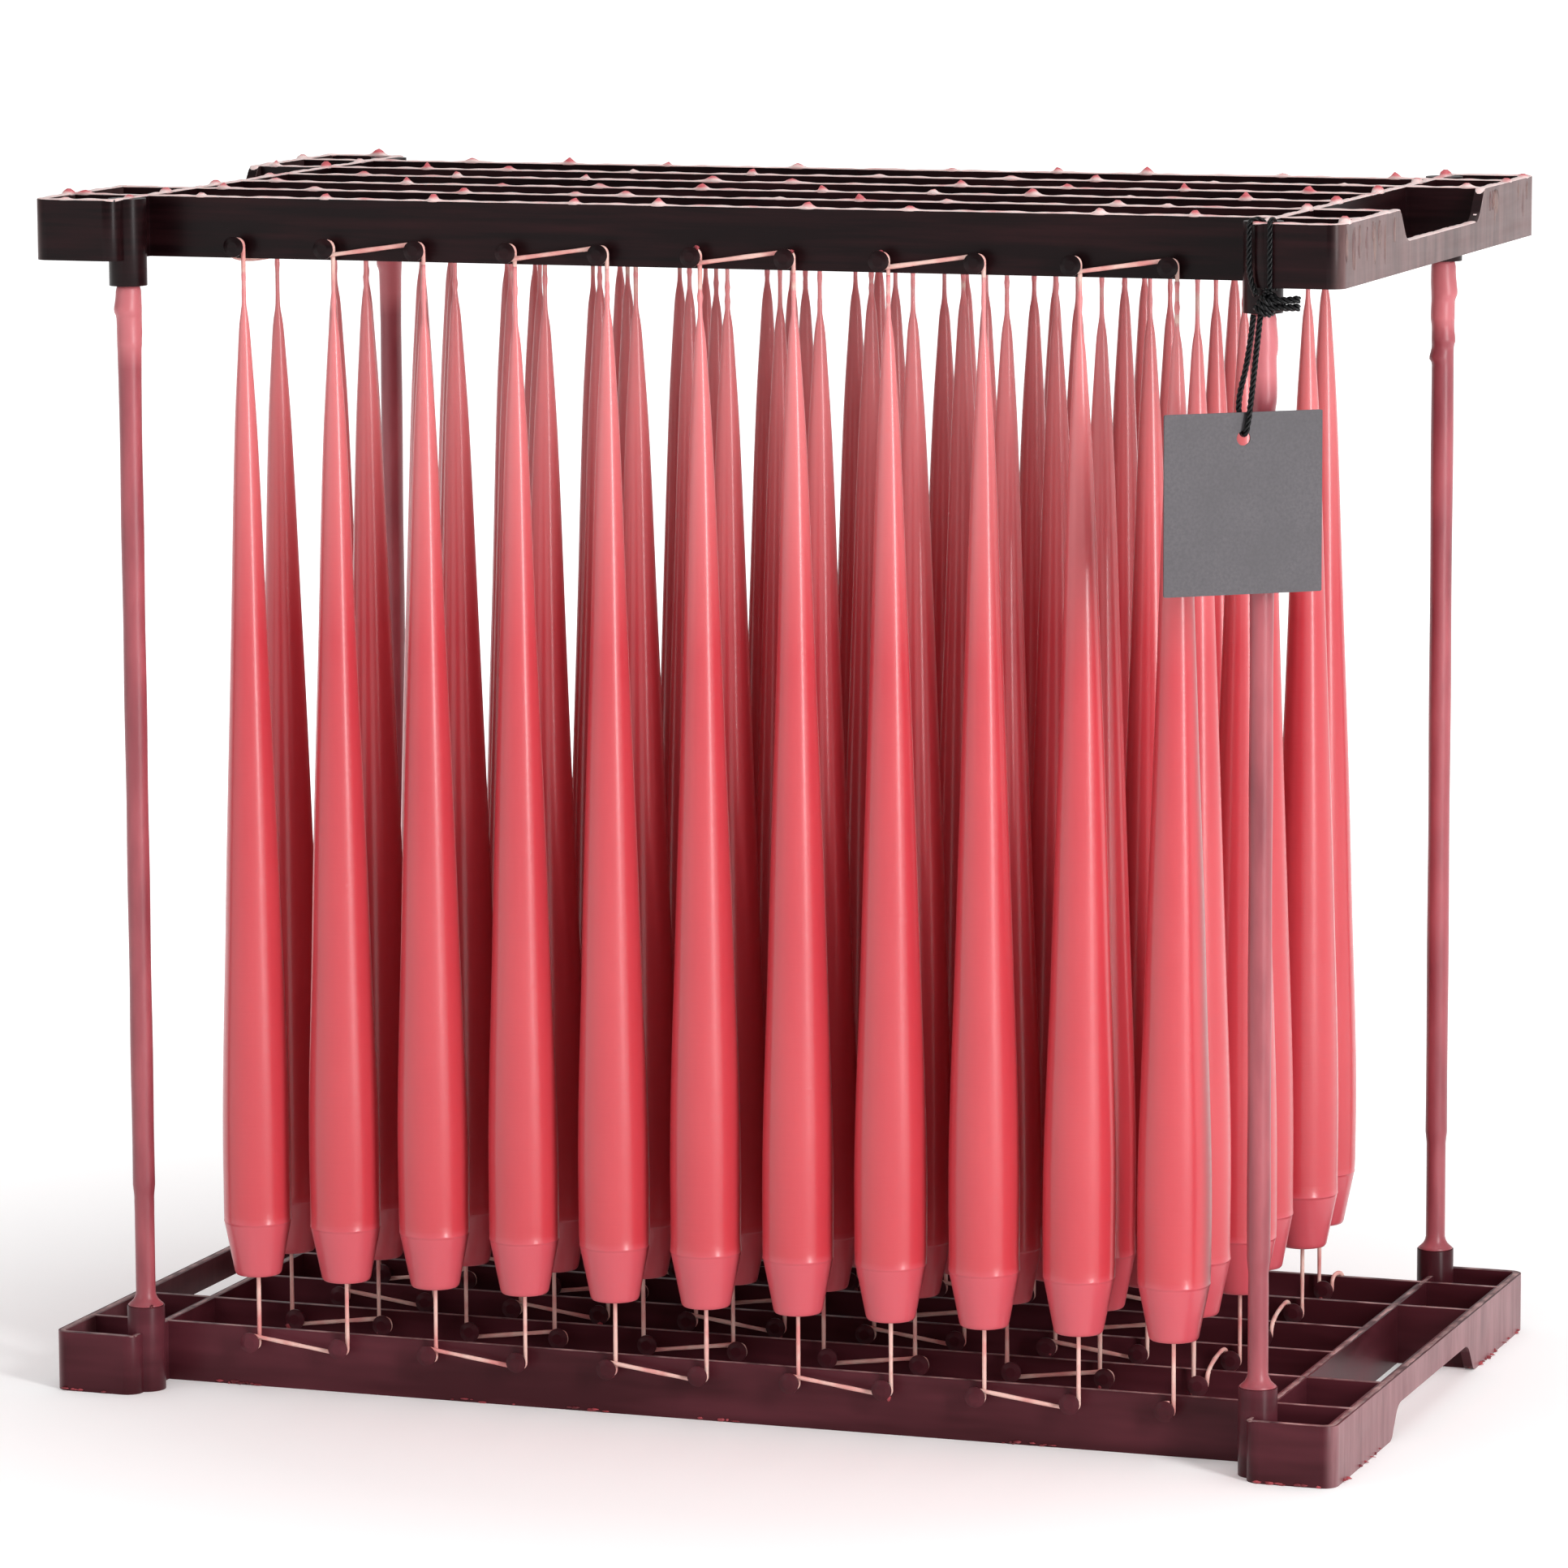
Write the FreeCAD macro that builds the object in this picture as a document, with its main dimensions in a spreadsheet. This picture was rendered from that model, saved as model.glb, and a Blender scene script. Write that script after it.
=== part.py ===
import FreeCAD, Part
import math
import os

import Sketcher

# A candle dipping rack, standing upright with its sixty-six dipped candles.
# Two identical open lattice frames face each other across four steel rods. One long wick runs
# up and down between rows of pegs, and a taper candle hangs round every upright run of it.
# Frame of the model: X along the length, Y from front to back, Z up, millimetres, with the
# origin at the centre of the footprint on the table.

ROWS, COLUMNS = 6, 11
Vector = FreeCAD.Vector

# ---------------------------------------------------------------------------
# Driving dimensions: (alias, value, meaning). The whole document reads these cells.
# ---------------------------------------------------------------------------
DIMENSIONS = (
    ("rack_length", 445.0, "over the end walls"),
    ("rack_width", 248.6, "over the front and back walls"),
    ("rack_height", 400.0, "over the rims of both frames"),
    ("row_count", ROWS, "rails, and rows of candles"),
    ("column_count", COLUMNS, "candles in a row"),
    ("frame_depth", 20.0, "height of one moulded frame"),
    ("rail_wall", 2.6, "thickness of a long rail"),
    ("cross_wall", 2.8, "thickness of the cross rail by the rods"),
    ("end_wall", 3.2, "thickness of the end wall"),
    ("side_wall", 3.0, "thickness of the front and back walls"),
    ("wall_round", 5.0, "radius of the upright outer corners"),
    ("rail_pitch", 38.5, "from rail to rail"),
    ("candle_pitch", 32.0, "from candle to candle along a rail"),
    ("rod_span", 387.6, "between rod axes, lengthwise"),
    ("rod_gauge", 224.4, "between rod axes, across"),
    ("rod_diameter", 6.0, "steel rod"),
    ("boss_diameter", 12.6, "collar that takes the rod"),
    ("boss_rise", 8.6, "collar above the inner rim"),
    ("socket_floor", 2.5, "plastic left under the rod's end"),
    ("notch_mouth", 108.0, "finger notch, width at the rim"),
    ("notch_root", 92.0, "finger notch, width at its root"),
    ("notch_depth", 10.5, "finger notch, depth"),
    ("notch_round", 8.0, "radius at the notch's root"),
    ("notch_lip", 4.5, "radius at the notch's mouth"),
    ("peg_diameter", 3.0, "peg shaft"),
    ("peg_head", 6.8, "peg head"),
    ("peg_reach", 7.9, "front of the head, from the rail's middle"),
    ("peg_head_back", 6.6, "back of the head, from the rail's middle"),
    ("peg_inset", 4.0, "peg axis below the inner rim"),
    ("wick_diameter", 1.3, "braided wick"),
    ("wick_wrap", 2.3, "wick's middle from the peg's axis"),
    ("wick_standoff", 4.0, "upright wick, ahead of the rail's middle"),
    ("link_standoff", 5.75, "crossing wick, ahead of the rail's middle"),
    ("link_lift", 0.3, "room that a sloping link keeps from the shaft"),
    ("rim_gap", 1.2, "wick's middle off a rim that it crosses"),
    ("foot_radius", 7.6, "candle foot"), ("foot_level", 39.4, "its height"),
    ("heel_radius", 8.5, "candle heel"), ("heel_level", 41.0, "its height"),
    ("shoulder_radius", 12.0, "candle shoulder"), ("shoulder_level", 58.0, "its height"),
    ("belly_radius", 12.1, "candle belly"), ("belly_level", 82.0, "its height"),
    ("shank_radius", 9.9, "candle shank"), ("shank_level", 160.0, "its height"),
    ("neck_radius", 6.4, "candle neck"), ("neck_level", 258.0, "its height"),
    ("throat_radius", 4.0, "candle throat"), ("throat_level", 323.0, "its height"),
    ("nose_radius", 2.4, "candle nose"), ("nose_level", 348.0, "its height"),
    ("tip_radius", 1.1, "candle tip"), ("tip_level", 363.0, "its height"),
    ("film_radius", 3.3, "thin wax on the lower rod"), ("film_level", 68.0, "top of it"),
    ("coat_radius", 3.75, "thick wax on the upper rod"), ("coat_level", 358.0, "top of it"),
    ("bead_radius", 4.3, "wax bead under the top collar"), ("bead_level", 364.0, "its height"),
    ("coat_end", 370.6, "end of the wax"),
    ("cone_height", 3.0, "wax fillet on the bottom collar"),
    ("tag_width", 53.0, "card"), ("tag_height", 57.0, "card"), ("tag_card", 0.6, "card"),
    ("tag_round", 0.6, "corner radius of the card"),
    ("tag_hole", 4.6, "diameter of the hole in the card"),
    ("tag_hole_inset", 8.1, "middle of the hole below the top edge"),
    ("tag_turn", 38.0, "degrees that the card has turned on its cord"),
    ("cord_diameter", 2.0, "twisted cord"),
    ("knot_diameter", 7.2, "knot in the cord"),
    ("cord_ends", 4.0, "across the two cut ends of the cord"),
    ("cord_end_reach", 11.0, "cut ends of the cord, from the knot's middle"),
)


def fill_sheet(document):
    """The spreadsheet of driving dimensions: meaning in column A, number in column B."""
    sheet = document.addObject("Spreadsheet::Sheet", "Sheet")
    for row, (alias, value, meaning) in enumerate(DIMENSIONS, start=1):
        sheet.set(f"A{row}", f"{alias}: {meaning}")
        sheet.set(f"B{row}", str(value))
        sheet.setAlias(f"B{row}", alias)
    document.recompute()
    return sheet


doc = FreeCAD.newDocument("candle_dipping_rack")
sheet = fill_sheet(doc)
parts = []


def keep(sub_part, label):
    """Lists a finished sub-part and gives it the label that names its file."""
    sub_part.Label = label
    parts.append(sub_part)
    return sub_part


# ---------------------------------------------------------------------------
# Sketch and feature helpers
# ---------------------------------------------------------------------------
def origin_item(body, role):
    return next(item for item in body.Origin.OriginFeatures if item.Role == role)


def new_sketch(body, name, plane):
    sketch = body.newObject("Sketcher::SketchObject", name)
    sketch.AttachmentSupport = (origin_item(body, plane), "")
    sketch.MapMode = "FlatFace"
    return sketch


def outline(sketch, corners):
    """A closed outline of straight lines; each corner is a pair of expressions of the sheet."""
    numbers = [tuple(doc_value(text) for text in corner) for corner in corners]
    first = sketch.GeometryCount
    for start, end in zip(numbers, numbers[1:] + numbers[:1]):
        line = Part.LineSegment(Vector(*start, 0), Vector(*end, 0))
        sketch.addGeometry(line)
    for index, corner in enumerate(corners):
        line, last = first + index, first + (index - 1) % len(corners)
        sketch.addConstraint(Sketcher.Constraint("Coincident", last, 2, line, 1))
        for kind, text, number in zip(("DistanceX", "DistanceY"), corner, numbers[index]):
            if number == 0.0 and text == "0":
                on_axis = -2 if kind == "DistanceX" else -1
                sketch.addConstraint(Sketcher.Constraint("PointOnObject", line, 1, on_axis))
                continue
            place = sketch.addConstraint(Sketcher.Constraint(kind, -1, 1, line, 1, number))
            sketch.setExpression(f"Constraints[{place}]", text)


def circle(sketch, x_text, y_text, radius_text):
    """A circle whose centre and radius are expressions of the sheet."""
    x, y, radius = (doc_value(text) for text in (x_text, y_text, radius_text))
    index = sketch.addGeometry(Part.Circle(Vector(x, y, 0), Vector(0, 0, 1), radius))
    rules = (
        (Sketcher.Constraint("DistanceX", -1, 1, index, 3, x), x_text),
        (Sketcher.Constraint("DistanceY", -1, 1, index, 3, y), y_text),
        (Sketcher.Constraint("Radius", index, radius), radius_text),
    )
    for rule, text in rules:
        place = sketch.addConstraint(rule)
        sketch.setExpression(f"Constraints[{place}]", text)


def doc_value(text):
    """The number that an expression of the sheet has now."""
    return float(sheet.evalExpression(text.replace("Sheet.", "")))


def pad(body, name, sketch, length_text):
    feature = body.newObject("PartDesign::Pad", name)
    feature.Profile = sketch
    feature.setExpression("Length", length_text)
    return feature


def mirrored(body, name, original, plane):
    feature = body.newObject("PartDesign::Mirrored", name)
    feature.Originals = [original]
    feature.MirrorPlane = (origin_item(body, plane), [""])
    body.Tip = feature
    return feature


def revolved(body, name, sketch):
    feature = body.newObject("PartDesign::Revolution", name)
    feature.Profile = sketch
    feature.ReferenceAxis = (sketch, ["V_Axis"])
    feature.Angle = 360
    return feature


def linear(body, name, axis, length_text, count_text):
    feature = body.newObject("PartDesign::LinearPattern", name)
    feature.Direction = (origin_item(body, axis), [""])
    feature.setExpression("Length", length_text)
    feature.setExpression("Occurrences", count_text)
    return feature


def edge_names(shape, wanted):
    return [f"Edge{number}" for number, edge in enumerate(shape.Edges, start=1) if wanted(edge)]


def is_along(edge, direction):
    """Whether an edge is straight and runs along a unit direction."""
    run = edge.Vertexes[-1].Point - edge.Vertexes[0].Point
    return edge.Curve.TypeId == "Part::GeomLine" and abs(run.dot(direction)) > 0.999 * run.Length


def rounded(body, name, base, edges, radius_text):
    feature = body.newObject("PartDesign::Fillet", name)
    feature.Base = (base, edges)
    feature.setExpression("Radius", radius_text)
    body.Tip = feature
    doc.recompute()
    return feature


# ---------------------------------------------------------------------------
# The two moulded lattice frames. A frame lies with its outer rim at height 0 and its inner
# rim, which faces the candles, at frame_depth. Its pegs stand on the front of every rail.
# ---------------------------------------------------------------------------
ROD_X, ROD_Y = "Sheet.rod_span / 2", "Sheet.rod_gauge / 2"
END_X, SIDE_Y = "Sheet.rack_length / 2", "Sheet.rack_width / 2"


def rail_y(row):
    return f"({row} - (Sheet.row_count + 1) / 2) * Sheet.rail_pitch"


def rectangle(sketch, left, right, front, back):
    outline(sketch, ((left, front), (right, front), (right, back), (left, back)))


def end_ring(body):
    """The closed box at each end: end wall, two side walls and the cross rail by the rods."""
    plan = new_sketch(body, "end_ring_plan", "XY_Plane")
    rectangle(plan, f"{ROD_X} - Sheet.cross_wall / 2", END_X, f"-({SIDE_Y})", SIDE_Y)
    inner_y = f"({SIDE_Y} - Sheet.side_wall)"
    rectangle(plan, f"{ROD_X} + Sheet.cross_wall / 2", f"{END_X} - Sheet.end_wall", f"-{inner_y}", inner_y)
    ring = pad(body, "end_ring", plan, "Sheet.frame_depth")
    mirrored(body, "other_end_ring", ring, "YZ_Plane")


def rails(body):
    """The long rails, one per row of candles."""
    plan = new_sketch(body, "rail_plan", "XY_Plane")
    middle, half = rail_y(1), "Sheet.rail_wall / 2"
    rectangle(plan, f"-({ROD_X})", ROD_X, f"{middle} - {half}", f"{middle} + {half}")
    rail = pad(body, "rail", plan, "Sheet.frame_depth")
    doc.recompute()
    spread = "(Sheet.row_count - 1) * Sheet.rail_pitch"
    row_of_rails = linear(body, "rails", "Y_Axis", spread, "Sheet.row_count")
    row_of_rails.Originals = [rail]
    body.Tip = row_of_rails


def ribs(body):
    """Short ribs that carry the two outermost rails on each side on to the end wall."""
    plan = new_sketch(body, "rib_plan", "XY_Plane")
    half = "Sheet.rail_wall / 2"
    for row in (1, 2, ROWS - 1, ROWS):
        middle = rail_y(row)
        rectangle(plan, ROD_X, f"{END_X} - Sheet.end_wall / 2", f"{middle} - {half}", f"{middle} + {half}")
    mirrored(body, "other_end_ribs", pad(body, "ribs", plan, "Sheet.frame_depth"), "YZ_Plane")


def bosses(body):
    """Four collars with blind sockets for the rods."""
    plan = new_sketch(body, "boss_plan", "XY_Plane")
    circle(plan, ROD_X, f"-({ROD_Y})", "Sheet.boss_diameter / 2")
    boss = pad(body, "boss", plan, "Sheet.frame_depth + Sheet.boss_rise")
    mouth = new_sketch(body, "socket_plan", "XY_Plane")
    mouth.setExpression("AttachmentOffset.Base.z", "Sheet.frame_depth + Sheet.boss_rise")
    circle(mouth, ROD_X, f"-({ROD_Y})", "Sheet.rod_diameter / 2")
    doc.recompute()
    socket = body.newObject("PartDesign::Pocket", "socket")
    socket.Profile = mouth
    socket.setExpression("Length", "Sheet.frame_depth + Sheet.boss_rise - Sheet.socket_floor")
    doc.recompute()
    corners = body.newObject("PartDesign::MultiTransform", "four_bosses")
    corners.Originals = [boss, socket]
    across = body.newObject("PartDesign::Mirrored", "boss_across")
    across.MirrorPlane = (origin_item(body, "XZ_Plane"), [""])
    along = body.newObject("PartDesign::Mirrored", "boss_along")
    along.MirrorPlane = (origin_item(body, "YZ_Plane"), [""])
    corners.Transformations = [across, along]
    body.Tip = corners
    doc.recompute()


def finger_notches(body):
    """A shallow finger notch in the outer rim of each end wall, with rounded corners."""
    section = new_sketch(body, "notch_section", "YZ_Plane")
    section.setExpression("AttachmentOffset.Base.z", END_X)
    mouth, root = "Sheet.notch_mouth / 2", "Sheet.notch_root / 2"
    outline(section, ((f"-{mouth}", "0"), (mouth, "0"), (root, "Sheet.notch_depth"), (f"-{root}", "Sheet.notch_depth")))
    notch = body.newObject("PartDesign::Pocket", "notch")
    notch.Profile = section
    notch.setExpression("Length", "Sheet.end_wall")
    doc.recompute()
    both = mirrored(body, "other_notch", notch, "YZ_Plane")
    doc.recompute()
    half_root, depth = sheet.notch_root / 2, sheet.notch_depth
    half_mouth, end = sheet.notch_mouth / 2, sheet.rack_length / 2 - sheet.end_wall

    def at(edge, y, z):
        middle = edge.CenterOfMass
        return is_along(edge, Vector(1, 0, 0)) and abs(middle.x) > end and (
            abs(abs(middle.y) - y) < 0.01 and abs(middle.z - z) < 0.01)

    roots = rounded(body, "notch_root_round", both,
                    edge_names(both.Shape, lambda edge: at(edge, half_root, depth)), "Sheet.notch_round")
    rounded(body, "notch_lip_round", roots,
            edge_names(roots.Shape, lambda edge: at(edge, half_mouth, 0)), "Sheet.notch_lip")


def wall_rounds(body):
    """The upright outer corners of both end rings."""
    side = sheet.rack_width / 2
    base = body.Tip

    def outer_corner(edge):
        return is_along(edge, Vector(0, 0, 1)) and abs(abs(edge.CenterOfMass.y) - side) < 0.01

    rounded(body, "wall_round", base, edge_names(base.Shape, outer_corner), "Sheet.wall_round")


def pegs(body):
    """Mushroom pegs on the front of every rail, one per candle."""
    section = new_sketch(body, "peg_section", "XY_Plane")
    section.setExpression("AttachmentOffset.Base.x", "-(Sheet.column_count - 1) * Sheet.candle_pitch / 2")
    section.setExpression("AttachmentOffset.Base.y", rail_y(1))
    section.setExpression("AttachmentOffset.Base.z", "Sheet.frame_depth - Sheet.peg_inset")
    head, shaft = "Sheet.peg_head / 2", "Sheet.peg_diameter / 2"
    front, back = "-Sheet.peg_reach", "-Sheet.peg_head_back"
    crown, inside = f"({front} + {back}) / 2", "-Sheet.rail_wall / 4"
    outline(section, (("0", front), (f"{head} / 2", front), (head, crown), (head, back),
                      (shaft, back), (shaft, inside), ("0", inside)))
    doc.recompute()
    peg = revolved(body, "peg", section)
    doc.recompute()
    grid = body.newObject("PartDesign::MultiTransform", "pegs")
    grid.Originals = [peg]
    along = linear(body, "pegs_along", "X_Axis", "(Sheet.column_count - 1) * Sheet.candle_pitch",
                   "Sheet.column_count")
    across = linear(body, "pegs_across", "Y_Axis", "(Sheet.row_count - 1) * Sheet.rail_pitch",
                    "Sheet.row_count")
    grid.Transformations = [along, across]
    body.Tip = grid


def lattice_frame(label):
    body = doc.addObject("PartDesign::Body", label)
    for stage in (end_ring, rails, ribs, bosses, wall_rounds, finger_notches, pegs):
        stage(body)
        doc.recompute()
    return keep(body, label)


lattice_frame("bottom_frame")
top_frame = lattice_frame("top_frame")
top_frame.Placement = FreeCAD.Placement(Vector(), FreeCAD.Rotation(Vector(0, 1, 0), 180))
top_frame.setExpression("Placement.Base.z", "Sheet.rack_height")

# ---------------------------------------------------------------------------
# Four steel rods, and the wax that the dipping leaves on them
# ---------------------------------------------------------------------------
CORNERS = (("front_left", -1, -1), ("front_right", 1, -1), ("back_left", -1, 1), ("back_right", 1, 1))


def stand_at_rod(sub_part, right, back):
    sub_part.setExpression("Placement.Base.x", f"{right} * {ROD_X}")
    sub_part.setExpression("Placement.Base.y", f"{back} * {ROD_Y}")


def steel_rod(corner, right, back):
    rod = doc.addObject("Part::Cylinder", f"rod_{corner}")
    rod.setExpression("Radius", "Sheet.rod_diameter / 2")
    rod.setExpression("Height", "Sheet.rack_height - 2 * Sheet.socket_floor")
    stand_at_rod(rod, right, back)
    rod.setExpression("Placement.Base.z", "Sheet.socket_floor")
    return keep(rod, f"rod_{corner}")


def rod_wax(corner, right, back):
    """The sleeve of wax round a rod, thin below and thick above, on a cone over the collar."""
    body = doc.addObject("PartDesign::Body", f"rod_wax_{corner}")
    section = new_sketch(body, "rod_wax_section", "XZ_Plane")
    collar, rod = "Sheet.frame_depth + Sheet.boss_rise", "Sheet.rod_diameter / 2"
    outline(section, (
        (rod, collar), ("Sheet.boss_diameter / 2 - 0.4", collar),
        ("Sheet.film_radius", f"{collar} + Sheet.cone_height"),
        ("Sheet.film_radius", "Sheet.film_level"), ("Sheet.coat_radius", "Sheet.film_level + 2"),
        ("Sheet.coat_radius", "Sheet.coat_level"), ("Sheet.bead_radius", "Sheet.bead_level"),
        ("Sheet.coat_radius", "Sheet.coat_end"), (rod, "Sheet.coat_end"),
    ))
    revolved(body, "rod_wax_turn", section)
    stand_at_rod(body, right, back)
    return keep(body, f"rod_wax_{corner}")


for place in CORNERS:
    steel_rod(*place)
    rod_wax(*place)

# ---------------------------------------------------------------------------
# Candles. Each hangs round one upright run of wick, and two of them share each loop of wick
# over a top peg, so they are kept in pairs, the way they come off the rack.
# ---------------------------------------------------------------------------
STATIONS = ("foot", "heel", "shoulder", "belly", "shank", "neck", "throat", "nose", "tip")


def side_of(row):
    """The side of its pegs on which a row's wick runs: +1 right in odd rows, -1 left in even."""
    return 1 if row % 2 else -1


def candle_form():
    """One taper with its wick hole, on the Z axis, from which every candle is linked."""
    body = doc.addObject("PartDesign::Body", "candle_form")
    section = new_sketch(body, "candle_section", "XZ_Plane")
    hole = "Sheet.wick_diameter / 2"
    side = [(f"Sheet.{name}_radius", f"Sheet.{name}_level") for name in STATIONS]
    outline(section, [(hole, "Sheet.foot_level"), *side, (hole, "Sheet.tip_level")])
    revolved(body, "candle_turn", section)
    doc.recompute()
    return body


def candle_pairs():
    """Every pair as (label, its two (row, column) places)."""
    for row in range(1, ROWS + 1):
        for column in range(2, COLUMNS, 2):
            yield f"candle_pair_row_{row}_{column}_{column + 1}", ((row, column), (row, column + 1))
    for row in range(1, ROWS, 2):
        yield f"candle_pair_turn_{row}_{row + 1}", ((row, 1), (row + 1, 1))


form = candle_form()
for label, places in candle_pairs():
    candles = []
    for row, column in places:
        candle = doc.addObject("App::Link", f"candle_{row}_{column}")
        candle.LinkedObject = form
        along = f"({column} - (Sheet.column_count + 1) / 2) * Sheet.candle_pitch"
        candle.setExpression("Placement.Base.x", f"{along} + {side_of(row)} * Sheet.wick_wrap")
        candle.setExpression("Placement.Base.y", f"{rail_y(row)} - Sheet.wick_standoff")
        candles.append(candle)
    pair = doc.addObject("Part::Compound", label)
    pair.Links = candles
    keep(pair, label)


# ---------------------------------------------------------------------------
# Wick and tag cord: tubes along straight runs joined by tangent arcs
# ---------------------------------------------------------------------------
def rounded_path(corners, widest):
    """A wire through the corners, each rounded by an arc that its two runs leave room for."""
    edges, radii, last = [], [], corners[0]
    for before, corner, after in zip(corners, corners[1:], corners[2:]):
        arriving, leaving = corner - before, after - corner
        shorter = min(arriving.Length, leaving.Length)
        arriving.normalize()
        leaving.normalize()
        half_turn = arriving.getAngle(leaving) / 2
        if half_turn < 1e-4:
            continue
        radius = min(widest, 0.45 * shorter / math.tan(half_turn))
        reach = radius * math.tan(half_turn)
        start, end = corner - arriving * reach, corner + leaving * reach
        inward = leaving - arriving
        inward.normalize()
        middle = corner + inward * (radius / math.cos(half_turn) - radius)
        edges += [Part.LineSegment(last, start).toShape(), Part.Arc(start, middle, end).toShape()]
        radii.append(radius)
        last = end
    edges.append(Part.LineSegment(last, corners[-1]).toShape())
    return Part.Wire(edges), radii


def tube(name, corners, diameter, widest):
    """A solid round tube along the rounded path, with its volume compared with its length."""
    path, radii = rounded_path(corners, widest)
    section = Part.Wire([Part.Circle(corners[0], corners[1] - corners[0], diameter / 2).toShape()])
    solid = path.makePipeShell([section], True, False)
    expected = math.pi * diameter ** 2 / 4 * path.Length
    print(f"{name}: {path.Length:.1f} mm, radii {min(radii):.2f} to {max(radii):.2f} mm, "
          f"volume {solid.Volume:.1f} of {expected:.1f} mm3")
    return solid


def soft_part(label, shape):
    feature = doc.addObject("Part::Feature", label)
    feature.Shape = shape
    return keep(feature, label)


class PegPlace:
    """Where the wick passes one peg: level of the peg, and which way leads out of the rack."""

    def __init__(self, row, column, top):
        self.side = side_of(row)
        self.x = (column - (sheet.column_count + 1) / 2) * sheet.candle_pitch
        self.rail = (row - (sheet.row_count + 1) / 2) * sheet.rail_pitch
        inset = sheet.frame_depth - sheet.peg_inset
        self.level = sheet.rack_height - inset if top else inset
        self.out = 1 if top else -1
        rim = sheet.rack_height - sheet.frame_depth if top else sheet.frame_depth
        self.rim = rim - self.out * sheet.rim_gap

    def point(self, across, outward, standoff):
        """A point by the peg: across towards the strand's side, outward from the candles."""
        return Vector(self.x + self.side * across, self.rail - standoff, self.level + self.out * outward)

    def over_rim(self, across, standoff):
        """A point where the wick crosses a rail's inner rim."""
        return Vector(self.x + self.side * across, self.rail - standoff, self.rim)


def turn_round(peg, link_leaves_on_strand_side):
    """Corners of the wick at one peg, from its upright strand to the sloping link."""
    wrap, lifted = sheet.wick_wrap, sheet.wick_wrap + sheet.link_lift
    near, far = sheet.wick_standoff, sheet.link_standoff
    if link_leaves_on_strand_side:
        between = near + (far - near) / 3
        return [peg.point(wrap, wrap, near), peg.point(-wrap, wrap, between), peg.point(-wrap, -lifted, far)]
    return [peg.point(wrap, lifted, near)]


def to_next_row(peg, next_peg):
    """Corners of the wick where it goes under one peg, over the rail's rim and round the next."""
    wrap, near = sheet.wick_wrap, sheet.wick_standoff
    leaving = [peg.point(wrap, wrap, near), peg.point(-wrap, wrap, near), peg.over_rim(-wrap, near)]
    arriving = [next_peg.over_rim(-wrap, near), next_peg.point(-wrap, wrap, near),
                next_peg.point(wrap, wrap, near)]
    return leaving, arriving


def wick_rows():
    """The wick's corners, one list per row, in the order in which the wick was wound."""
    wrap, near, far = sheet.wick_wrap, sheet.wick_standoff, sheet.link_standoff
    first_peg = PegPlace(1, COLUMNS, False)
    tail = first_peg.point(0.6 * wrap, -wrap - sheet.link_lift, far)
    corners = [tail, *reversed(turn_round(first_peg, True))]
    rows, top = [], True
    for row in range(1, ROWS + 1):
        order = list(range(COLUMNS, 0, -1)) if row % 2 else list(range(1, COLUMNS + 1))
        step = order[1] - order[0]
        for column, following in zip(order, order[1:]):
            corners += turn_round(PegPlace(row, column, top), step == side_of(row))
            corners += reversed(turn_round(PegPlace(row, following, top), step != side_of(row)))
            top = not top
        last_peg = PegPlace(row, order[-1], top)
        if row < ROWS:
            leaving, arriving = to_next_row(last_peg, PegPlace(row + 1, order[-1], top))
            join = (leaving[-1] + arriving[0]) / 2
            rows.append([*corners, *leaving, join])
            corners = [join, *arriving]
            top = not top
    behind = -sheet.rail_wall / 2 - sheet.rim_gap
    corners += [last_peg.point(wrap, wrap, near), last_peg.point(-wrap, wrap, near),
                last_peg.over_rim(-wrap, near), last_peg.over_rim(-2 * wrap, behind),
                last_peg.point(-2 * wrap, 0, behind)]
    rows.append(corners)
    return rows


WICK_ROUND = 2.0
wick_runs = [tube(f"wick row {number}", corners, sheet.wick_diameter, WICK_ROUND)
             for number, corners in enumerate(wick_rows(), start=1)]
soft_part("wick", Part.makeCompound(wick_runs))

# ---------------------------------------------------------------------------
# The hang tag on its cord: two turns of cord over the front wall of the top frame, a knot
# under the wall, and one loop of cord from the knot through the hole in the card
# ---------------------------------------------------------------------------
TAG_HOLE_AT = Vector(191.5, -126.0, 333.3)
KNOT_AT = Vector(199.2, -126.0, 375.2)
DROP_TOP = Vector(195.72, -126.0, 371.7)
LOOP_X = 199.6
CORNER_LOOP = (192.4, -123.6)
INSIDE_X = 196.4
CORD_GAP = 0.1


def hang_tag():
    """The card, in the plane of its own X and Z, with the hole at its origin."""
    body = doc.addObject("PartDesign::Body", "hang_tag")
    plan = new_sketch(body, "card_plan", "XZ_Plane")
    half, top = "Sheet.tag_width / 2", "Sheet.tag_hole_inset"
    rectangle(plan, f"-{half}", half, f"{top} - Sheet.tag_height", top)
    circle(plan, "0 * Sheet.tag_width", "0 * Sheet.tag_width", "Sheet.tag_hole / 2")
    card = pad(body, "card", plan, "Sheet.tag_card")
    card.SideType = "Symmetric"
    doc.recompute()

    def corner(edge):
        return is_along(edge, Vector(0, 1, 0)) and abs(abs(edge.CenterOfMass.x) - sheet.tag_width / 2) < 0.01

    rounded(body, "card_round", card, edge_names(card.Shape, corner), "Sheet.tag_round")
    body.Placement = FreeCAD.Placement(TAG_HOLE_AT, FreeCAD.Rotation(Vector(0, 0, 1), sheet.tag_turn))
    return keep(body, "hang_tag")


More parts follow.
